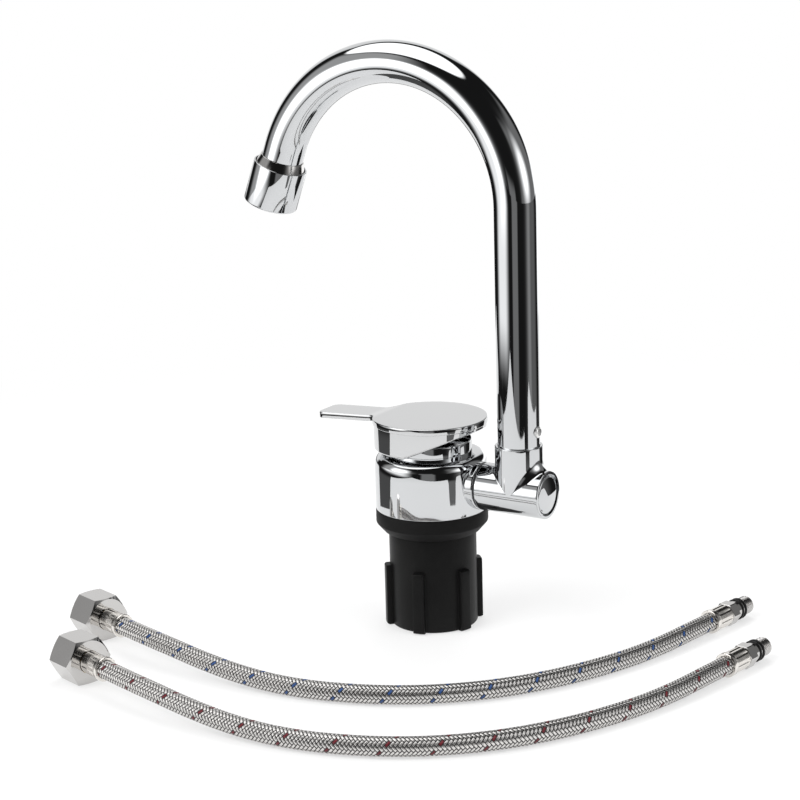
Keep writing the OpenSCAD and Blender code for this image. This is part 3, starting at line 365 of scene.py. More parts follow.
def braid_material(name, tracer):
    """The same weave for the shader, crisp at any distance: which bundle is on top, its wires with painted
    shade between them, painted black shade in the gaps beside it and where it dips at its ends, and the
    coloured threads in one bundle of the twelve."""
    made, tree = new_material(name)

    def calc(operation, *values):
        """What a Math node makes of these values."""
        return added(tree, "ShaderNodeMath", dict(enumerate(values)), operation=operation).outputs[0]

    def chosen(factor, low, high):
        """Low where factor is 0, high where it is 1."""
        return calc("ADD", low, calc("MULTIPLY", factor, calc("SUBTRACT", high, low)))

    def stepped(value, low, high):
        """0 below low, 1 above high, and a smooth curve between."""
        span = {"Value": value, "From Min": low, "From Max": high}
        return added(tree, "ShaderNodeMapRange", span, interpolation_type="SMOOTHSTEP").outputs["Result"]

    counts = added(tree, "ShaderNodeUVMap", uv_map="bundles")
    split = added(tree, "ShaderNodeSeparateXYZ", {0: counts.outputs[0]})
    first, second = split.outputs["X"], split.outputs["Y"]
    crossing = calc("ADD", calc("FLOOR", first), calc("FLOOR", second))
    on_top = calc("LESS_THAN", calc("FLOORED_MODULO", crossing, 4), 1.5)
    across, along = chosen(on_top, second, first), chosen(on_top, first, second)
    number = calc("FLOOR", across)
    off_middle = calc("ABSOLUTE", calc("SUBTRACT", calc("FRACT", across), 0.5))
    off_crown = calc("ABSOLUTE", calc("SUBTRACT", calc("FLOORED_MODULO", calc("ADD", along, number), 2), 1))
    # Painted shade: the gaps beside a bundle, and its ends where it dips under the other family, turn black.
    gap_shade_mask = calc("MAXIMUM", stepped(off_middle, 0.30, bundle_half), stepped(off_crown, 0.66, 1.0))
    wires = calc("MULTIPLY", calc("PINGPONG", across, wire_half), 1 / wire_half)
    # Painted light level: 0 in the painted shade, and from 0.55 at each wire's edge to 1 on its crest.
    painted_light_level = calc("MULTIPLY", calc("SUBTRACT", 1, gap_shade_mask), chosen(wires, 0.55, 1))
    in_first = calc("LESS_THAN", calc("FLOORED_MODULO", calc("FLOOR", first), bundles), 0.5)
    thread = calc("MULTIPLY", on_top, in_first)
    bump = added(tree, "ShaderNodeBump", {"Strength": 0.6, "Distance": 0.05 * MM, "Height": wires})
    connect(tree, tree.nodes["Principled BSDF"], {
        "Base Color": blended(tree, painted_light_level, painted_gap_shade, blended(tree, thread, wire_colour, tracer)),
        "Metallic": calc("SUBTRACT", 0.95, calc("MULTIPLY", thread, 0.95)),
        "Roughness": chosen(gap_shade_mask, 0.26, 0.7),
        "Normal": bump.outputs[0],
    })
    return made


def closed_up(mesh, merge):
    """Merges the doubles of a closed mesh, turns its faces outwards and shades it smooth."""
    shell = bmesh.new()
    shell.from_mesh(mesh)
    bmesh.ops.remove_doubles(shell, verts=shell.verts, dist=merge)
    bmesh.ops.recalc_face_normals(shell, faces=shell.faces)
    shell.to_mesh(mesh)
    shell.free()
    mesh.shade_smooth()


def braided_hose(kind, place, tracer):
    """A tube along the route whose radius carries the braid, with a flat disc at each end inside its ferrule.
    Each corner of a face keeps its count of bundles as a UV. Also gives points along the middle, and the
    route."""
    rows, around = 1180, 72
    route = hose_route(place)
    line, length = smooth_line(route, rows)
    side, above = across_line(line)
    turn = np.arange(around) / around
    first = bundles * (turn[None, :] + length[:, None] / braid_pitch)
    second = bundles * (turn[None, :] - length[:, None] / braid_pitch)
    radius = hose_radius + braid_weave(first, second)
    angle = 2 * np.pi * turn
    outward = np.cos(angle)[None, :, None] * side[:, None] + np.sin(angle)[None, :, None] * above[:, None]
    tube = line[:, None] + radius[..., None] * outward
    start, end = np.repeat(line[:1, None], around, 1), np.repeat(line[-1:, None], around, 1)
    quads = grid_quads(rows + 2, around, True)
    mesh = quad_mesh(kind + "_braided_hose", np.concatenate([start, tube, end]).reshape(-1, 3), quads)
    column = quads % around
    column[:, 1:3] = np.where(column[:, 1:3] == 0, around, column[:, 1:3])
    turns_round, turns_along = column / around, np.pad(length, 1, mode="edge")[quads // around] / braid_pitch
    counts = np.stack([turns_round + turns_along, turns_round - turns_along], -1) * bundles
    mesh.uv_layers.new(name="bundles").data.foreach_set("uv", counts.astype(np.float32).ravel())
    closed_up(mesh, 1e-6)
    hose = shown(kind + "_braided_hose", mesh, braid_material(kind + "_hose_braid", tracer))
    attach(hose, "root")
    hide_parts(kind + "_hose")
    return hose, line[::10], route


hoses = {kind: braided_hose(kind, hose_places[kind], thread_colours[kind]) for kind in hose_places}

# Hose fittings
# Plated brass and steel: a hexagon union nut that spins on its nipple, a crimped sleeve
# with flutes on each end of the braid, and a threaded tail with two rubber rings.


def new_group(name, inputs, outputs):
    """An empty node group with these numbers going in and out, and what its input node puts out."""
    group = bpy.data.node_groups.new(name, "ShaderNodeTree")
    for way, labels in (("INPUT", inputs), ("OUTPUT", outputs)):
        for label in labels:
            group.interface.new_socket(label, in_out=way, socket_type="NodeSocketFloat")
    return group, added(group, "NodeGroupInput").outputs


def polish_group():
    """Faint cloudy haze over a polished surface: roughness between two values, and a height for a very small
    bump."""
    group, entry = new_group("polish", ("Scale", "Clear", "Hazy"), ("Roughness", "Height"))
    place = added(group, "ShaderNodeTexCoord").outputs["Object"]
    cloud = {"Vector": place, "Scale": entry["Scale"], "Detail": 4.0}
    haze = added(group, "ShaderNodeTexNoise", cloud).outputs["Fac"]
    span = {"From Min": 0.35, "From Max": 0.7, "To Min": entry["Clear"], "To Max": entry["Hazy"]}
    rough = added(group, "ShaderNodeMapRange", {"Value": haze, **span})
    added(group, "NodeGroupOutput", {"Roughness": rough.outputs["Result"], "Height": haze})
    return group


polish = polish_group()


def metal(name, colour, clear, hazy, scale, dent=0.0):
    """A polished metal: its colour, its roughness where clear and where hazy, and a bump of dent metres."""
    made, tree = new_material(name)
    shader = tree.nodes["Principled BSDF"]
    haze = added(tree, "ShaderNodeGroup", {"Scale": scale, "Clear": clear, "Hazy": hazy}, node_tree=polish)
    rough = haze.outputs["Roughness"]
    connect(tree, shader, {"Base Color": (*colour, 1), "Metallic": 1.0, "Roughness": rough})
    if dent:
        bump = added(tree, "ShaderNodeBump", {"Distance": dent, "Height": haze.outputs["Height"]})
        connect(tree, shader, {"Normal": bump.outputs[0]})
    return made


def grain_group():
    """Moulded skin: a tone that wanders slowly over the surface and a fine grain for a bump."""
    group, entry = new_group("moulded_grain", ("Grain",), ("Tone", "Height"))
    place = added(group, "ShaderNodeTexCoord").outputs["Object"]
    cloud = added(group, "ShaderNodeTexNoise", {"Vector": place, "Scale": 90.0, "Detail": 3.0})
    fine = added(group, "ShaderNodeTexNoise", {"Vector": place, "Scale": entry["Grain"], "Detail": 2.0})
    added(group, "NodeGroupOutput", {"Tone": cloud.outputs["Fac"], "Height": fine.outputs["Fac"]})
    return group


moulded_grain = grain_group()


def moulded(name, dark, light, roughness, grain, depth, shine=0.5):
    """A moulded plastic or rubber: two tones that blend, one roughness, a grain of this scale and depth, and
    its shine."""
    made, tree = new_material(name)
    skin = added(tree, "ShaderNodeGroup", {"Grain": grain}, node_tree=moulded_grain)
    bump = added(tree, "ShaderNodeBump", {"Distance": depth, "Height": skin.outputs["Height"]})
    connect(tree, tree.nodes["Principled BSDF"], {
        "Base Color": blended(tree, skin.outputs["Tone"], (*dark, 1), (*light, 1)),
        "Roughness": roughness,
        "Specular IOR Level": shine,
        "Normal": bump.outputs[0],
    })
    return made


def dress(material, *names):
    """Gives CAD nodes whose shape is right their finish."""
    for name in names:
        nodes[name].data.materials.clear()
        nodes[name].data.materials.append(material)


def grid_mesh(name, grids, wrap=True, merge=2e-7):
    """One closed mesh from grids of points: each is closed round its columns, or they are open sheets that
    share their borders."""
    points, quads, start = [], [], 0
    for grid in grids:
        points.append(grid.reshape(-1, 3))
        quads.append(grid_quads(*grid.shape[:2], wrap) + start)
        start += len(points[-1])
    mesh = quad_mesh(name, np.concatenate(points), np.concatenate(quads))
    closed_up(mesh, merge)
    return mesh


def made_piece(name, grids, material, body, slot, replaced, crease=32, **joins):
    """A piece from grids of points, in place of a CAD node. Edges sharper than crease degrees stay sharp."""
    mesh = grid_mesh(name, grids, **joins)
    mesh.set_sharp_from_angle(angle=math.radians(crease))
    piece = shown(name, mesh, material)
    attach(piece, body)
    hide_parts(replaced)
    return piece


def full_turn(segments):
    """Angles all the way round, in equal steps."""
    return 2 * np.pi * np.arange(segments) / segments


def rings(a, rows):
    """Points round the Z axis at the angles a, from rows of a radius and a height in millimetres. Each is one
    value, or has a value for each angle."""
    r, z = (np.stack([np.broadcast_to(row[k], a.shape) for row in rows]) for k in (0, 1))
    return np.stack([r * np.cos(a), r * np.sin(a), z], -1) * MM


def turned(profile, segments=144):
    """A profile of radius and height in millimetres, carried round the Z axis."""
    return rings(full_turn(segments), profile)


def placed(grid, origin, axis, side):
    """A grid moved from the Z axis to an axis through origin, with its X along side."""
    axis, side = (np.asarray(v, float) / np.linalg.norm(v) for v in (axis, side))
    return np.asarray(origin, float) + grid @ np.stack([side, np.cross(axis, side), axis])


def eased_corners(corners, radii, steps=5):
    """A closed outline of points whose corners are arcs of these radii; 0 leaves a corner sharp. The first
    point is repeated at the end."""
    corners = np.asarray(corners, float)
    made = []
    for before, here, after, radius in zip(np.roll(corners, 1, 0), corners, np.roll(corners, -1, 0), radii):
        back, on = before - here, after - here
        back, on = back / np.linalg.norm(back), on / np.linalg.norm(on)
        half = math.acos(max(-1, min(1, float(back @ on)))) / 2
        if radius == 0 or half > 1.55:
            made.append(here[None])
            continue
        centre = here + (back + on) / np.linalg.norm(back + on) * radius / math.sin(half)
        start, end = here + back * radius / math.tan(half), here + on * radius / math.tan(half)
        t = np.linspace(0, 1, steps + 1)[:, None]
        sweep = math.pi - 2 * half
        arc = np.sin((1 - t) * sweep) * (start - centre) + np.sin(t * sweep) * (end - centre)
        made.append(centre + arc / math.sin(sweep))
    outline = np.concatenate(made)
    return np.concatenate([outline, outline[:1]])


nickel = metal("nickel_plate", (0.58, 0.57, 0.56), 0.07, 0.14, 160)
ferrule_steel = metal("drawn_steel", (0.80, 0.77, 0.73), 0.16, 0.26, 240, 0.01 * MM)
brass = metal("machined_brass", (0.72, 0.55, 0.26), 0.18, 0.30, 200)
seal_rubber = moulded("seal_rubber", (0.004, 0.004, 0.004), (0.008, 0.008, 0.008), 0.42, 900, 0.01 * MM, 0.25)
nut_flats, nut_back, nut_mouth, nut_hole, nut_seat = 19.0, 2.4, 17.4, 4.9, 5.6
nut_core, thread_pitch, thread_depth, thread_end = 7.475, 1.337, 0.75, 10.2
grip, wall, hose_bore = 10.0, 2.0, 2.5
tail_flats, tail_face, tail_corner, hex_end, tail_tip = 9.6, 4.6, 5.38, 7.0, 20.0
tail_neck, tail_groove, tail_core, tail_depth, tail_pitch = 4.2, 3.2, 3.40, 0.58, 1.0


def hexagon(a, flats):
    """A hexagon's radius at each angle, from its width across the flats."""
    return flats / 2 / np.cos((a + np.pi / 6) % (np.pi / 3) - np.pi / 6)


def helix(a, z, pitch):
    """A cosine between 0 and 1 that winds round the Z axis, once in every pitch."""
    return 0.5 + 0.5 * np.cos(2 * np.pi * z[:, None] / pitch - a)


def union_nut():
    """Hexagon nut along Z. Its sides are a hexagon's radius at each angle, cones of 30 degrees cut the
    corners to a round face at both ends, and the bore has a helical groove, open at the mouth, that fades
    out inside."""
    a = full_turn(192)
    flat, face = hexagon(a, nut_flats), nut_flats / 2 - 0.35
    slope = (flat - face) * math.tan(math.radians(30))
    outside = [(nut_hole, nut_back), (face, nut_back), (flat, nut_back + slope), (flat, nut_mouth - slope),
               (face, nut_mouth), (nut_core + 1.2, nut_mouth)]
    depth = np.linspace(nut_mouth - 0.4, thread_end, 74)
    groove = helix(a, depth, thread_pitch) * ease(depth, thread_end, thread_end + 0.8)[:, None]
    groove = np.where(depth[:, None] > nut_mouth - 1.0, 1, groove)
    relief = [(nut_core + 0.3, thread_end), (nut_core + 0.3, nut_seat),
              (nut_hole, nut_seat), (nut_hole, nut_back)]
    return rings(a, outside + list(zip(nut_core + thread_depth * groove, depth)) + relief)


def crimped_ferrule():
    """Fluted sleeve along Z: eight shallow round flutes, each a raised cosine cut to a narrow valley, and a
    plain ring at the braid's end. A row has its radius, its height and the depth of its flutes."""
    a = full_turn(192)
    valley = 0.42 * np.clip(np.cos(8 * a), 0, 1) ** 1.5
    ring = [(4.1, 0, 0), (5.0, 0, 0), (5.2, 0.3, 0), (5.2, 2.2, 0), (5.05, 2.5, 0),
            (4.78, 2.6, 0.4), (4.82, 3.4, 1)]
    front = [(4.82, wall - 0.9, 1), (4.82, wall - 0.3, 0.4), (4.72, wall, 0)]
    inside = [(hose_bore, wall, 0), (hose_bore, 0, 0), (4.05, 0, 0), (4.1, -grip, 0)]
    rows = [(r, z - grip, deep) for r, z, deep in ring] + front + inside
    return rings(a, [(r - deep * valley, z) for r, z, deep in rows])


def threaded_tail():
    """Tail along Z: a hexagon with eased corners, a neck with two grooves, and a helical thread with a
    bevelled end."""
    a = full_turn(160)
    flat = np.minimum(hexagon(a, tail_flats), tail_corner)
    slope = 0.35 * (flat - tail_face)
    head = [(hose_bore, wall), (tail_face, wall), (flat, wall + slope), (flat, hex_end - slope),
            (tail_face, hex_end), (tail_neck + 0.1, hex_end + 0.02), (tail_neck, hex_end + 0.1)]
    neck = [(tail_neck, 9.8), (tail_groove, 9.8), (tail_groove, 11.3), (tail_neck, 11.3),
            (tail_neck, 12.0), (tail_groove, 12.0), (tail_groove, 13.5), (3.55, 13.5)]
    rise = np.linspace(13.55, tail_tip - 0.3, 90)
    taper = 1 - ease(rise, tail_tip - 1.0, tail_tip - 0.3)
    crest = np.clip(1.25 * helix(a, rise, tail_pitch), 0, 1) * taper[:, None]
    tip = [(3.3, tail_tip), (hose_bore, tail_tip), (hose_bore, wall)]
    return rings(a, head + neck + list(zip(tail_core + tail_depth * crest, rise)) + tip)


for kind, (hose, path, route) in hoses.items():
    nut_end, tail_end = route[0], route[-1]
    nut_way, tail_way = (route[0] - route[1]) * [1, 1, 0], (route[-1] - route[-2]) * [1, 1, 0]
    on_hose = [made_piece(kind + "_nut", [placed(union_nut(), nut_end, nut_way, up)],
                          nickel, kind + "_nut", "nickel", kind + "_union_nut", 24)]
    for end, at, way in (("nut", nut_end, nut_way), ("tail", tail_end, tail_way)):
        sleeve = placed(crimped_ferrule(), at, way, up)
        on_hose.append(made_piece(f"{kind}_{end}_sleeve", [sleeve],
                                  ferrule_steel, "root", "ferrule_steel", f"{kind}_{end}_ferrule"))
    on_hose.append(made_piece(kind + "_screw_tail", [placed(threaded_tail(), tail_end, tail_way, up)],
                              nickel, "root", "nickel", kind + "_tail"))
    dress(brass, kind + "_nut_nipple")
    dress(seal_rubber, kind + "_nut_washer", kind + "_tail_seals")
    on_hose += [nodes[kind + "_nut_nipple"], nodes[kind + "_nut_washer"], nodes[kind + "_tail_seals"]]

# Gasket, shank and clamp nut
# The rubber gasket seals the tap to the worktop. The hollow nylon shank goes through the
# worktop's hole, and the long ribbed nut on it is turned by hand to clamp the tap down.
deep_black, worn_black = (0.004, 0.004, 0.004), (0.009, 0.009, 0.009)
gasket_rubber = moulded("gasket_rubber", deep_black, worn_black, 0.55, 700, 0.02 * MM, 0.13)
black_nylon = moulded("black_nylon", deep_black, worn_black, 0.42, 1100, 0.03 * MM, 0.12)
body_r, body_low = 25.0, 10.2
shank_r, shank_bore, shank_low, clamp_pitch = 16.5, 13.5, -43.4, 2.0
rib_count, rib_first, rib_r, rib_top = 6, math.radians(-18), 22.0, -15.4
sleeve_r, nut_low, nut_high, clamp_bore, clamp_mouth = 19.5, -43.1, 1.7, 16.8, 17.4
gasket_profile = eased_corners(
    [(16.8, 2.0), (19.8, 2.0), (19.8, 0.0), (21.5, 0.0), (body_r, 4.0), (body_r, body_low), (16.8, body_low)],
    [0, 0, 0.3, 0.6, 1.2, 0.5, 0])
made_piece("gasket", [turned(gasket_profile)], gasket_rubber, "root", "gasket_rubber", "base_gasket")


def screwed_shank():
    """The shank: its bore, its lower end, a screw thread that dips from the radius along a helix with flat
    crests and fades out at both ends, and its plain top."""
    a = full_turn(120)
    low, high = shank_low + 0.8, 1.0
    z = np.linspace(low, high, int((high - low) / clamp_pitch * 12))
    fade = band(z, low + clamp_pitch / 2, high - clamp_pitch / 2, clamp_pitch / 2)
    dip = 0.9 * np.clip(1.5 * helix(a, z, clamp_pitch) - 0.25, 0, 1) * fade[:, None]
    below = [(shank_bore, body_low), (shank_bore, shank_low),
             (shank_r - 0.5, shank_low), (shank_r, shank_low + 0.5)]
    above = [(shank_r, body_low), (shank_bore, body_low)]
    return rings(a, below + list(zip(shank_r - dip, z)) + above)


made_piece("screwed_shank", [screwed_shank()], black_nylon, "root", "black_plastic", "threaded_shank")


def ribbed_nut():
    """The nut's outside: sleeve radius plus rib height times two masks, one across each rib and one along it,
    both ramps with rounded shoulders. Then come the top, the threaded bore and the bottom."""
    across = np.array([0, 0.9, 1.7, 2.35, 2.6, 2.74, 2.80, 2.86, 3.0, 3.5, 5, 6.5, 8, 9.5, 11])
    share = np.append(np.interp(across, [0, 2.35, 2.6, 2.74, 2.86, 3.0], [1, 1, 0.96, 0.85, 0.04, 0]), 0)
    half = np.append(across / rib_r, np.pi / rib_count)
    one = np.concatenate([-half[:0:-1], half[:-1]])
    a = (rib_first + one[None, :] + 2 * np.pi / rib_count * np.arange(rib_count)[:, None]).ravel()
    mask = np.tile(np.concatenate([share[:0:-1], share[:-1]]), rib_count)
    foot = nut_low + np.array([0, 0.15, 0.5])
    shoulder = rib_top + np.array([-0.75, -0.35, -0.12, 0, 0.05])
    rim = nut_high - np.array([0.6, 0.2, 0])
    z = np.concatenate([foot, [-36, -30, -24, -18], shoulder, [rib_top + 0.3, -10, -5], rim])
    along = np.interp(z, np.concatenate([foot, shoulder]), [0.80, 0.92, 1, 1, 0.95, 0.84, 0.66, 0])
    sleeve = np.interp(z, [foot[0], foot[2], *rim], sleeve_r - np.array([0.4, 0, 0, 0.1, 0.5]))
    outside = sleeve[:, None] + (rib_r - sleeve_r) * along[:, None] * mask
    bore_z = np.linspace(nut_high - 0.8, nut_low + 0.8, 264)
    groove = 0.8 * np.clip(0.75 + np.cos(2 * np.pi * bore_z[:, None] / clamp_pitch - a), 0, 1)
    bore = clamp_bore + groove * band(bore_z, nut_low + 1.6, nut_high - 1.6, 0.6)[:, None]
    inside = [(clamp_mouth, nut_high), *zip(bore, bore_z), (clamp_mouth, nut_low), (outside[0], nut_low)]
    return rings(a, list(zip(outside, z)) + inside)


made_piece("ribbed_clamp_nut", [ribbed_nut()], black_nylon, "clamp", "black_plastic", "clamp_nut", 40)

# Body and cartridge cover
# Cast brass, polished and chromed: a drum that draws in a little to its eased shoulder, with
# the boss for the fold hinge on its right. The cover, a turned cap, screws on over the cartridge.
chrome = metal("chrome_plate", (0.615, 0.625, 0.635), 0.015, 0.04, 40)
body_top, hinge_z, boss_x, barrel_r = 35.2, 22.7, 26.6, 10.5


def carve(piece, grid, operation):
    """Joins a closed shell to the piece or cuts it out, and keeps the result as the piece's own mesh."""
    helper = bpy.data.objects.new("helper", grid_mesh("helper", [grid]))
    scene.collection.objects.link(helper)
    step = piece.modifiers.new("step", "BOOLEAN")
    step.operation = operation
    step.solver = "EXACT"
    step.object = helper
    bpy.context.view_layer.update()
    done = bpy.data.meshes.new_from_object(piece.evaluated_get(bpy.context.evaluated_depsgraph_get()))
    piece.modifiers.clear()
    old = piece.data
    piece.data = done
    bpy.data.meshes.remove(old)
    bpy.data.objects.remove(helper)


def on_hinge(grid):
    """A grid about Z moved to the hinge's axis, its Z along X."""
    return placed(grid, (0, 0, hinge_z * MM), (1, 0, 0), (0, 0, -1))


def rod(radius, low, high, segments=96):
    """A plain round bar along Z."""
    return turned([(0, low), (radius, low), (radius, high), (0, high)], segments)


body_profile = eased_corners(
    [(0, -4.0), (13.2, -4.0), (13.2, body_low), (body_r, body_low), (body_r, 28.8), (24.33, body_top),
     (15.1, body_top), (15.1, 27.0), (12.6, 27.0), (12.6, 17.0), (0, 17.0)],
    [0, 0.4, 0, 0.35, 40, 4.2, 0.3, 0, 0, 0, 0], 14)[:-1]
body = made_piece("chromed_body", [turned(body_profile, 192)], chrome, "root", "chrome", "tap_body")
boss = eased_corners(
    [(0, 18.7), (12.2, 18.7), (barrel_r, 22.6), (barrel_r, boss_x), (0, boss_x)], [0, 0, 4, 0.7, 0], 8)[:-1]
carve(body, on_hinge(turned(boss)), "UNION")
carve(body, on_hinge(rod(6.6, 16.5, 30)), "DIFFERENCE")
for inlet in (-6.5, 6.5):
    carve(body, rod(3.5, -6, 8, 64) + np.array([0, inlet * MM, 0]), "DIFFERENCE")
    carve(body, rod(2.5, 6, 19, 48) + np.array([0, inlet * MM, 0]), "DIFFERENCE")
body.data.shade_smooth()
body.data.set_sharp_from_angle(angle=math.radians(28))

cover_r, cover_hole, cover_inner = 18.4, 10.5, 15.3
cover_profile = eased_corners(
    [(cover_inner, body_top), (cover_r, body_top), (cover_r, 36.3), (cover_r - 0.2, 36.45), (cover_r, 36.6),
     (cover_r, 41.4), (cover_hole, 42.4), (cover_hole, 40.85), (cover_inner, 39.85)],
    [0, 0, 0, 0, 0, 0.8, 0.2, 0, 0])
made_piece("cartridge_cap", [turned(cover_profile)], chrome, "root", "chrome", "cartridge_cover")

# Cartridge
# The valve inside the body: acetal housing and rotor, two lapped ceramic discs, a steel
# stem on its pin, and the brass nut that holds it all down.
steel = metal("turned_steel", (0.56, 0.56, 0.57), 0.14, 0.24, 300)
ceramic = moulded("lapped_ceramic", (0.88, 0.87, 0.84), (0.94, 0.93, 0.90), 0.18, 600, 0.004 * MM)
acetal = moulded("white_acetal", (0.80, 0.80, 0.78), (0.87, 0.87, 0.85), 0.38, 500, 0.01 * MM)
dark_acetal = moulded("dark_acetal", (0.12, 0.16, 0.18), (0.17, 0.21, 0.23), 0.40, 500, 0.01 * MM)
dress(acetal, "cartridge_housing", "cartridge_base", "cartridge_rotor")
dress(dark_acetal, "disc_carrier")
dress(ceramic, "fixed_disc", "moving_disc")
dress(steel, "stem_pin", "cartridge_stem", "lever_grub_screw")
dress(brass, "cartridge_nut")
dress(seal_rubber, "cartridge_seals")

# Lever
# Die-cast zinc, chromed: a thin round plate with a flat arm, and a skirt below whose lower
# edge is cut on a slant towards the spout, so that the lever can be lifted.
lever_chrome = metal("lever_plate", (0.615, 0.62, 0.625), 0.02, 0.05, 60)
plate_r, plate_top, plate_low, edge_low, edge_high = 25.5, 51.5, 48.7, 0.35, 0.55
arm_half, arm_reach, tip_r = 8.0, 55.0, 3.5
neck_r, neck_start, neck_end, neck_drop, droop = 4.0, -20.5, -28.5, 0.8, math.tan(math.radians(3))
skirt_r, skirt_bore, skirt_low, skirt_lip, skirt_slant = 25.0, 22.5, 37.5, 1.0, math.tan(math.radians(22.3))
slant_x, hub_back, hub_middle, hub_front, hub_half, hub_low = 0.9, -22.8, -8.5, 5.7, 6, 43.2
inside_plate = plate_low + 0.6


def lever_outline(inset):
    """The lever's plan, moved in by inset: half of the disc, the hollow neck, the arm's side and the tip's
    corner as arcs that meet in line, then their mirror image."""
    neck_y = arm_half + neck_r
    neck_x = -math.sqrt((plate_r + neck_r) ** 2 - neck_y**2)
    meet = math.atan2(neck_y, neck_x)
    r, n, t = plate_r - inset, neck_r + inset, max(tip_r - inset, 0.05)
    disc = np.linspace(0, meet, 90)
    neck = np.linspace(meet + np.pi, 1.5 * np.pi, 40)[1:]
    tip = np.linspace(np.pi / 2, np.pi, 14)
    side_x = np.linspace(neck_x, -arm_reach + tip_r, 24)[1:-1]
    half = np.concatenate([
        np.stack([r * np.cos(disc), r * np.sin(disc)], -1),
        np.stack([neck_x + n * np.cos(neck), neck_y + n * np.sin(neck)], -1),
        np.stack([side_x, np.full(len(side_x), arm_half - inset)], -1),
        np.stack([-arm_reach + tip_r + t * np.cos(tip), arm_half - tip_r + t * np.sin(tip)], -1),
    ])
    return np.concatenate([half, half[:0:-1] * [1, -1]])


def lever_plate():
    """The plate: its outline carried up a rounded edge. The arm dips smoothly across the neck and droops
    evenly from there. The top and the underside are closed to the middle line by rings that shrink in y."""
    t = np.linspace(0, np.pi / 2, 7)
    edge = [(edge_low * (1 - np.sin(q)), plate_low + edge_low * (1 - np.cos(q))) for q in t]
    edge += [(edge_high * (1 - np.cos(q)), plate_top - edge_high * (1 - np.sin(q))) for q in t]
    outlines = [np.insert(lever_outline(inset), 2, z, axis=1) for inset, z in edge]
    shrink = np.linspace(1, 0, 12)[1:]
    low = [outlines[0] * [1, s, 1] for s in shrink[::-1]]
    high = [outlines[-1] * [1, s, 1] for s in shrink]
    grid = np.stack(low + outlines + high)
    x = grid[..., 0]
    grid[..., 2] -= np.clip(neck_start - x, 0, None) * droop + neck_drop * ease(-x, -neck_start, -neck_end)
    return grid * MM


def lever_skirt():
    """The skirt's wall: at each angle a strip that goes straight down from inside the plate and ends in a
    round lip. The lip is level under the arm and rises on a slant towards the spout, from a line just past
    the axis."""
    a = full_turn(288)
    low = skirt_low + np.clip(skirt_r * np.cos(a) - slant_x, 0, None) * skirt_slant
    lip = np.minimum(skirt_lip, (plate_low - low) / 3)
    q = np.linspace(0, np.pi / 2, 7)
    outside = [(skirt_r - lip * (1 - np.cos(p)), low + lip * (1 - np.sin(p))) for p in q]
    inside = [(skirt_bore + lip * (1 - np.sin(p)), low + lip * (1 - np.cos(p))) for p in q]
    above = [(skirt_bore, inside_plate), (skirt_r, inside_plate)]
    return rings(a, above[1:] + outside + inside + above)


def lever_hub():
    """The hub under the plate, which grips the stem: a rounded bar along X, its outline carried upwards."""
    corners = [(hub_back, -hub_half), (hub_front, -hub_half), (hub_front, hub_half), (hub_back, hub_half)]
    plan = eased_corners(corners, [0.1, 1.5, 1.5, 0.1], 6)[:-1]
    middle = 0 * plan + [hub_middle, 0]
    rows = ((middle, hub_low), (plan, hub_low), (plan, inside_plate), (middle, inside_plate))
    return np.stack([np.insert(points, 2, z, axis=1) for points, z in rows]) * MM


lever_grids = [lever_plate(), lever_skirt(), lever_hub()]
made_piece("lever_handle", lever_grids, lever_chrome, "lever", "lever_chrome", "lever", 30)
bright_steel = metal("bright_steel", (0.86, 0.86, 0.85), 0.32, 0.42, 200)
dress(bright_steel, "lever_plug")

# Fold hinge
# A chromed brass T that turns on the brass spindle screwed into the boss. A dark nylon
# washer parts it from the boss, and a domed cap closes the open end of its barrel.
hinge_nylon = moulded("hinge_nylon", (0.010, 0.010, 0.011), (0.018, 0.018, 0.019), 0.45, 900, 0.01 * MM)
dress(brass, "hinge_spindle")
dress(seal_rubber, "hinge_seals")
dress(steel, "hinge_thrust_washer", "hinge_circlip")
washer = eased_corners([(7.1, boss_x), (10.1, boss_x), (10.1, 27.4), (7.1, 27.4)], [0, 0.2, 0.2, 0])
made_piece("dark_washer", [on_hinge(turned(washer))], hinge_nylon, "root", "washer_plastic", "hinge_washer")
barrel_low, barrel_high, column_x, socket_top = 27.5, 58.7, 44.6, 43.6
barrel_bore, recess_r, recess_x, socket_bore, socket_floor = 7.05, 9.2, 53.7, 9.3, 36.0
tee_edge, tee_slices = 0.4, 73
cap_low, cap_flange, cap_step, cap_edge, cap_rim, cap_dome = 56.1, 9.15, 57.2, 8.35, 58.35, 0.85


def barrel_rows(lean, end, bore, corner):
    """Rows from the bore over an end face and its rounded edge, and along the barrel to the corner."""
    inward = math.copysign(1, column_x - end)
    q, run = np.linspace(0, np.pi / 2, 6)[:, None], np.linspace(0, 1, 16)[1:, None]
    r = np.concatenate([[[bore]], barrel_r - tee_edge + tee_edge * np.sin(q), np.full(run.shape, barrel_r)])
    face = np.full((1, len(lean)), end)
    edge = end + inward * tee_edge * (1 - np.cos(q)) + 0 * lean
    start = end + inward * tee_edge
    x = np.concatenate([face, edge, start + (corner - start) * run])
    return np.stack([x, r * np.sin(lean), hinge_z + r * np.cos(lean)], -1)


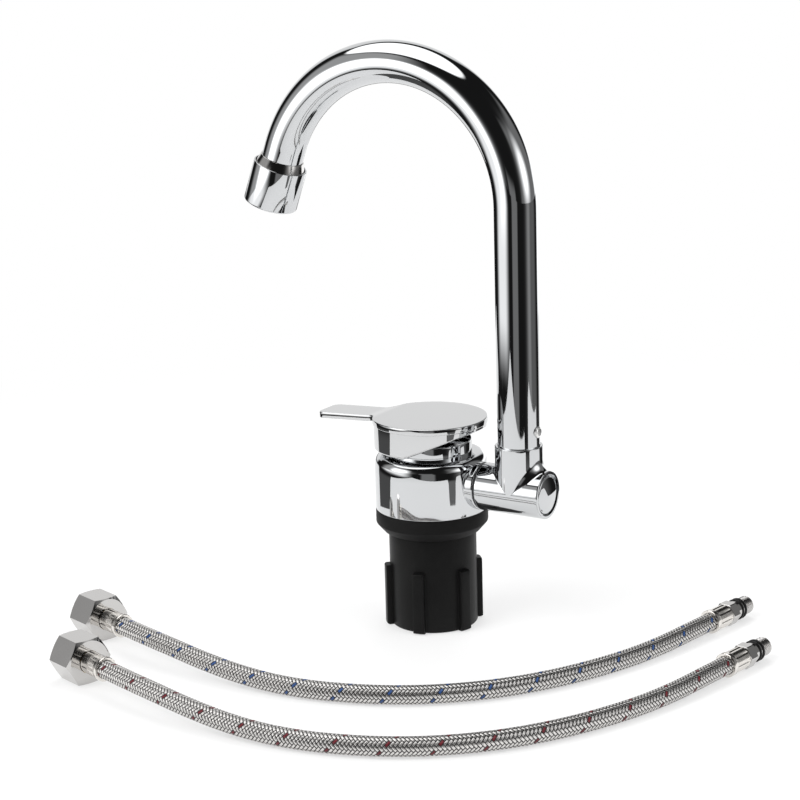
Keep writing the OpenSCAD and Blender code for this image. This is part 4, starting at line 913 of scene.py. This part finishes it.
def socket_rows(lean, sign, blend_x, blend_z):
    """Rows from the barrel's top round the blend, up the socket's side, over its rim and down its bore. The
    blend is a quarter oval that shrinks with the cosine of lean, to nothing where the two round surfaces
    touch, so the seams in front and behind are a V."""
    c, s = np.cos(lean), np.sin(lean)
    top = hinge_z + barrel_r * c
    corner = column_x + sign * barrel_r * c
    q, run = np.linspace(0, np.pi / 2, 14)[1:, None], np.linspace(0, 1, 12)[1:, None]
    bend_x = corner + sign * blend_x * c * (1 - np.sin(q))
    bend_z = top + blend_z * c * (1 - np.cos(q))
    rise_z = bend_z[-1] + (socket_top - tee_edge - bend_z[-1]) * run
    rim_r = barrel_r - tee_edge * (1 - np.cos(q))
    rim_z = socket_top - tee_edge + tee_edge * np.sin(q) + 0 * lean
    inner_r = np.array([[socket_bore], [socket_bore], [0]])
    inner_z = np.array([[socket_top], [socket_floor], [socket_floor]]) + 0 * lean
    return np.concatenate([
        np.stack([bend_x, barrel_r * s + 0 * bend_x, bend_z], -1),
        np.stack([corner + 0 * rise_z, barrel_r * s + 0 * rise_z, rise_z], -1),
        np.stack([column_x + sign * rim_r * c, rim_r * s, rim_z], -1),
        np.stack([column_x + sign * inner_r * c, inner_r * s, inner_z], -1),
    ])


def tee_sheets():
    """Barrel and socket with one radius, as slices at equal y: two sheets over the top, left and right of the
    socket, two below, and the bore with its recess."""
    over = np.radians(np.linspace(-90, 90, tee_slices))
    under = np.radians(np.linspace(90, 270, tee_slices))
    sheets = []
    ends = ((-1, barrel_low, barrel_bore, 1.1, 1.6), (1, barrel_high, recess_r, 3.1, 5.6))
    for sign, end, bore, blend_x, blend_z in ends:
        foot = column_x + sign * (barrel_r + blend_x) * np.cos(over)
        barrel = barrel_rows(over, end, bore, foot)
        sheets.append(np.concatenate([barrel, socket_rows(over, sign, blend_x, blend_z)]))
        sheets.append(barrel_rows(under, end, bore, np.full(tee_slices, column_x)))
    around = np.radians(np.linspace(-90, 270, 2 * tee_slices - 1))
    r = np.array([barrel_bore, barrel_bore, recess_r, recess_r])[:, None]
    x = np.array([barrel_low, recess_x, recess_x, barrel_high])[:, None] + 0 * around
    sheets.append(np.stack([x, r * np.sin(around), hinge_z + r * np.cos(around)], -1))
    return [sheet * MM for sheet in sheets]


dome_r = np.linspace(cap_edge - 0.35, 0, 14)
cap_side = [(0, cap_low), (cap_flange, cap_low), (cap_flange, cap_step), (cap_edge, cap_step),
            (cap_edge, cap_rim - 0.3), (cap_edge - 0.1, cap_rim - 0.08)]
cap_top = np.stack([dome_r, cap_rim + cap_dome * (1 - (dome_r / cap_edge) ** 2)], -1)
cap_grid = on_hinge(turned(np.concatenate([cap_side, cap_top])))
made_piece("barrel_end_cap", [cap_grid], chrome, "fold", "chrome", "hinge_end_cap", 40)
made_piece("chromed_tee", tee_sheets(), chrome, "fold", "chrome", "hinge_tee", 26, wrap=False, merge=2e-6)

# Spout
# Drawn brass tube, bent to an arch and chromed. A brass sleeve inside its foot turns in the
# T's socket, held by a circlip, and a small screw fixes the sleeve to the tube.
tube_r, tube_bore, tube_low, tube_run = 9.25, 8.25, 36.1, 18.5
arch_x, arch_z, arch_r, arch_end = -15.6, 146.2, 60.2, math.radians(160)
outlet_point = np.array([arch_x + arch_r * math.cos(arch_end), 0, arch_z + arch_r * math.sin(arch_end)])
outlet_way = np.array([-math.sin(arch_end), 0, math.cos(arch_end)])
screw_z, screw_r = 50.2, 2.5


def spout_path():
    """Points up the column, over the arch and straight on to the outlet, with the direction at each."""
    column = np.linspace(tube_low, arch_z, 24)[:-1]
    turn = np.linspace(0, arch_end, 150)
    run = np.linspace(0, tube_run, 8)[1:, None]
    points = np.concatenate([
        np.stack([0 * column + column_x, 0 * column, column], -1),
        np.stack([arch_x + arch_r * np.cos(turn), 0 * turn, arch_z + arch_r * np.sin(turn)], -1),
        outlet_point + outlet_way * run,
    ])
    ways = np.concatenate([
        np.tile(up, (len(column), 1)),
        np.stack([-np.sin(turn), 0 * turn, np.cos(turn)], -1),
        np.tile(outlet_way, (len(run), 1)),
    ])
    return points, ways


def tube_wall():
    """A circle carried along the spout's path outside, and back along it inside."""
    points, ways = spout_path()
    a = full_turn(128)
    across = np.array([0, 1.0, 0])
    out = np.cross(across, ways)
    circle = np.cos(a)[None, :, None] * out[:, None] + np.sin(a)[None, :, None] * across
    outside = points[:, None] + tube_r * circle
    inside = points[:, None] + tube_bore * circle
    return np.concatenate([outside, inside[::-1], outside[:1]]) * MM


made_piece("spout_arch", [tube_wall()], chrome, "spout", "chrome", "spout_tube")
dress(brass, "swivel_sleeve")
dress(seal_rubber, "swivel_seal")
dress(steel, "swivel_circlip")
screw_profile = eased_corners(
    [(0, -2.0), (1.2, -2.0), (1.2, -0.4), (screw_r, -0.4), (screw_r, 0.6), (1.6, 1.0), (0, 1.1)],
    [0, 0, 0, 0, 0.4, 0.8, 0])[:-1]
screw_point = np.array([column_x + tube_r, 0, screw_z]) * MM
screw_grid = placed(turned(screw_profile, 64), screw_point, (1, 0, 0), up)
made_piece("sleeve_screw", [screw_grid], bright_steel, "spout", "bright_steel", "spout_fixing_screw")

# Outlet
# A chromed brass collar that screws on a ring on the tube's end. It holds the acetal insert
# that mixes air into the water, and its open rim stands off the tube.
collar_r, collar_bore, collar_rim, collar_low, collar_lip = 12.1, 10.7, 8.5, 27.5, 9.1


def at_outlet(profile):
    """A profile turned about the end of the arch, its height running on down the tube."""
    return placed(turned(profile), outlet_point * MM, outlet_way, (0, 1, 0))


collar_profile = eased_corners(
    [(11.4, collar_rim), (collar_r, collar_rim), (collar_r, collar_low), (collar_lip, collar_low),
     (collar_lip, 26.3), (collar_bore, 26.3), (collar_bore, 13.2), (11.4, 13.2)],
    [0.2, 0.25, 0.9, 0.3, 0, 0, 0, 0])
made_piece("outlet_collar", [at_outlet(collar_profile)], chrome, "spout", "chrome", "aerator_collar")
ring_profile = eased_corners(
    [(9.3, 5.0), (9.7, 5.0), (11.3, 9.5), (11.3, 10.5), (10.6, 10.5), (10.6, tube_run), (9.3, tube_run)],
    [0, 0.15, 0.3, 0, 0, 0, 0])
made_piece("tube_end_ring", [at_outlet(ring_profile)], nickel, "spout", "nickel", "outlet_ring")
aerator_acetal = moulded("aerator_acetal", (0.78, 0.79, 0.79), (0.86, 0.87, 0.87), 0.35, 500, 0.01 * MM)
dress(aerator_acetal, "aerator_insert")
dress(seal_rubber, "aerator_washer")
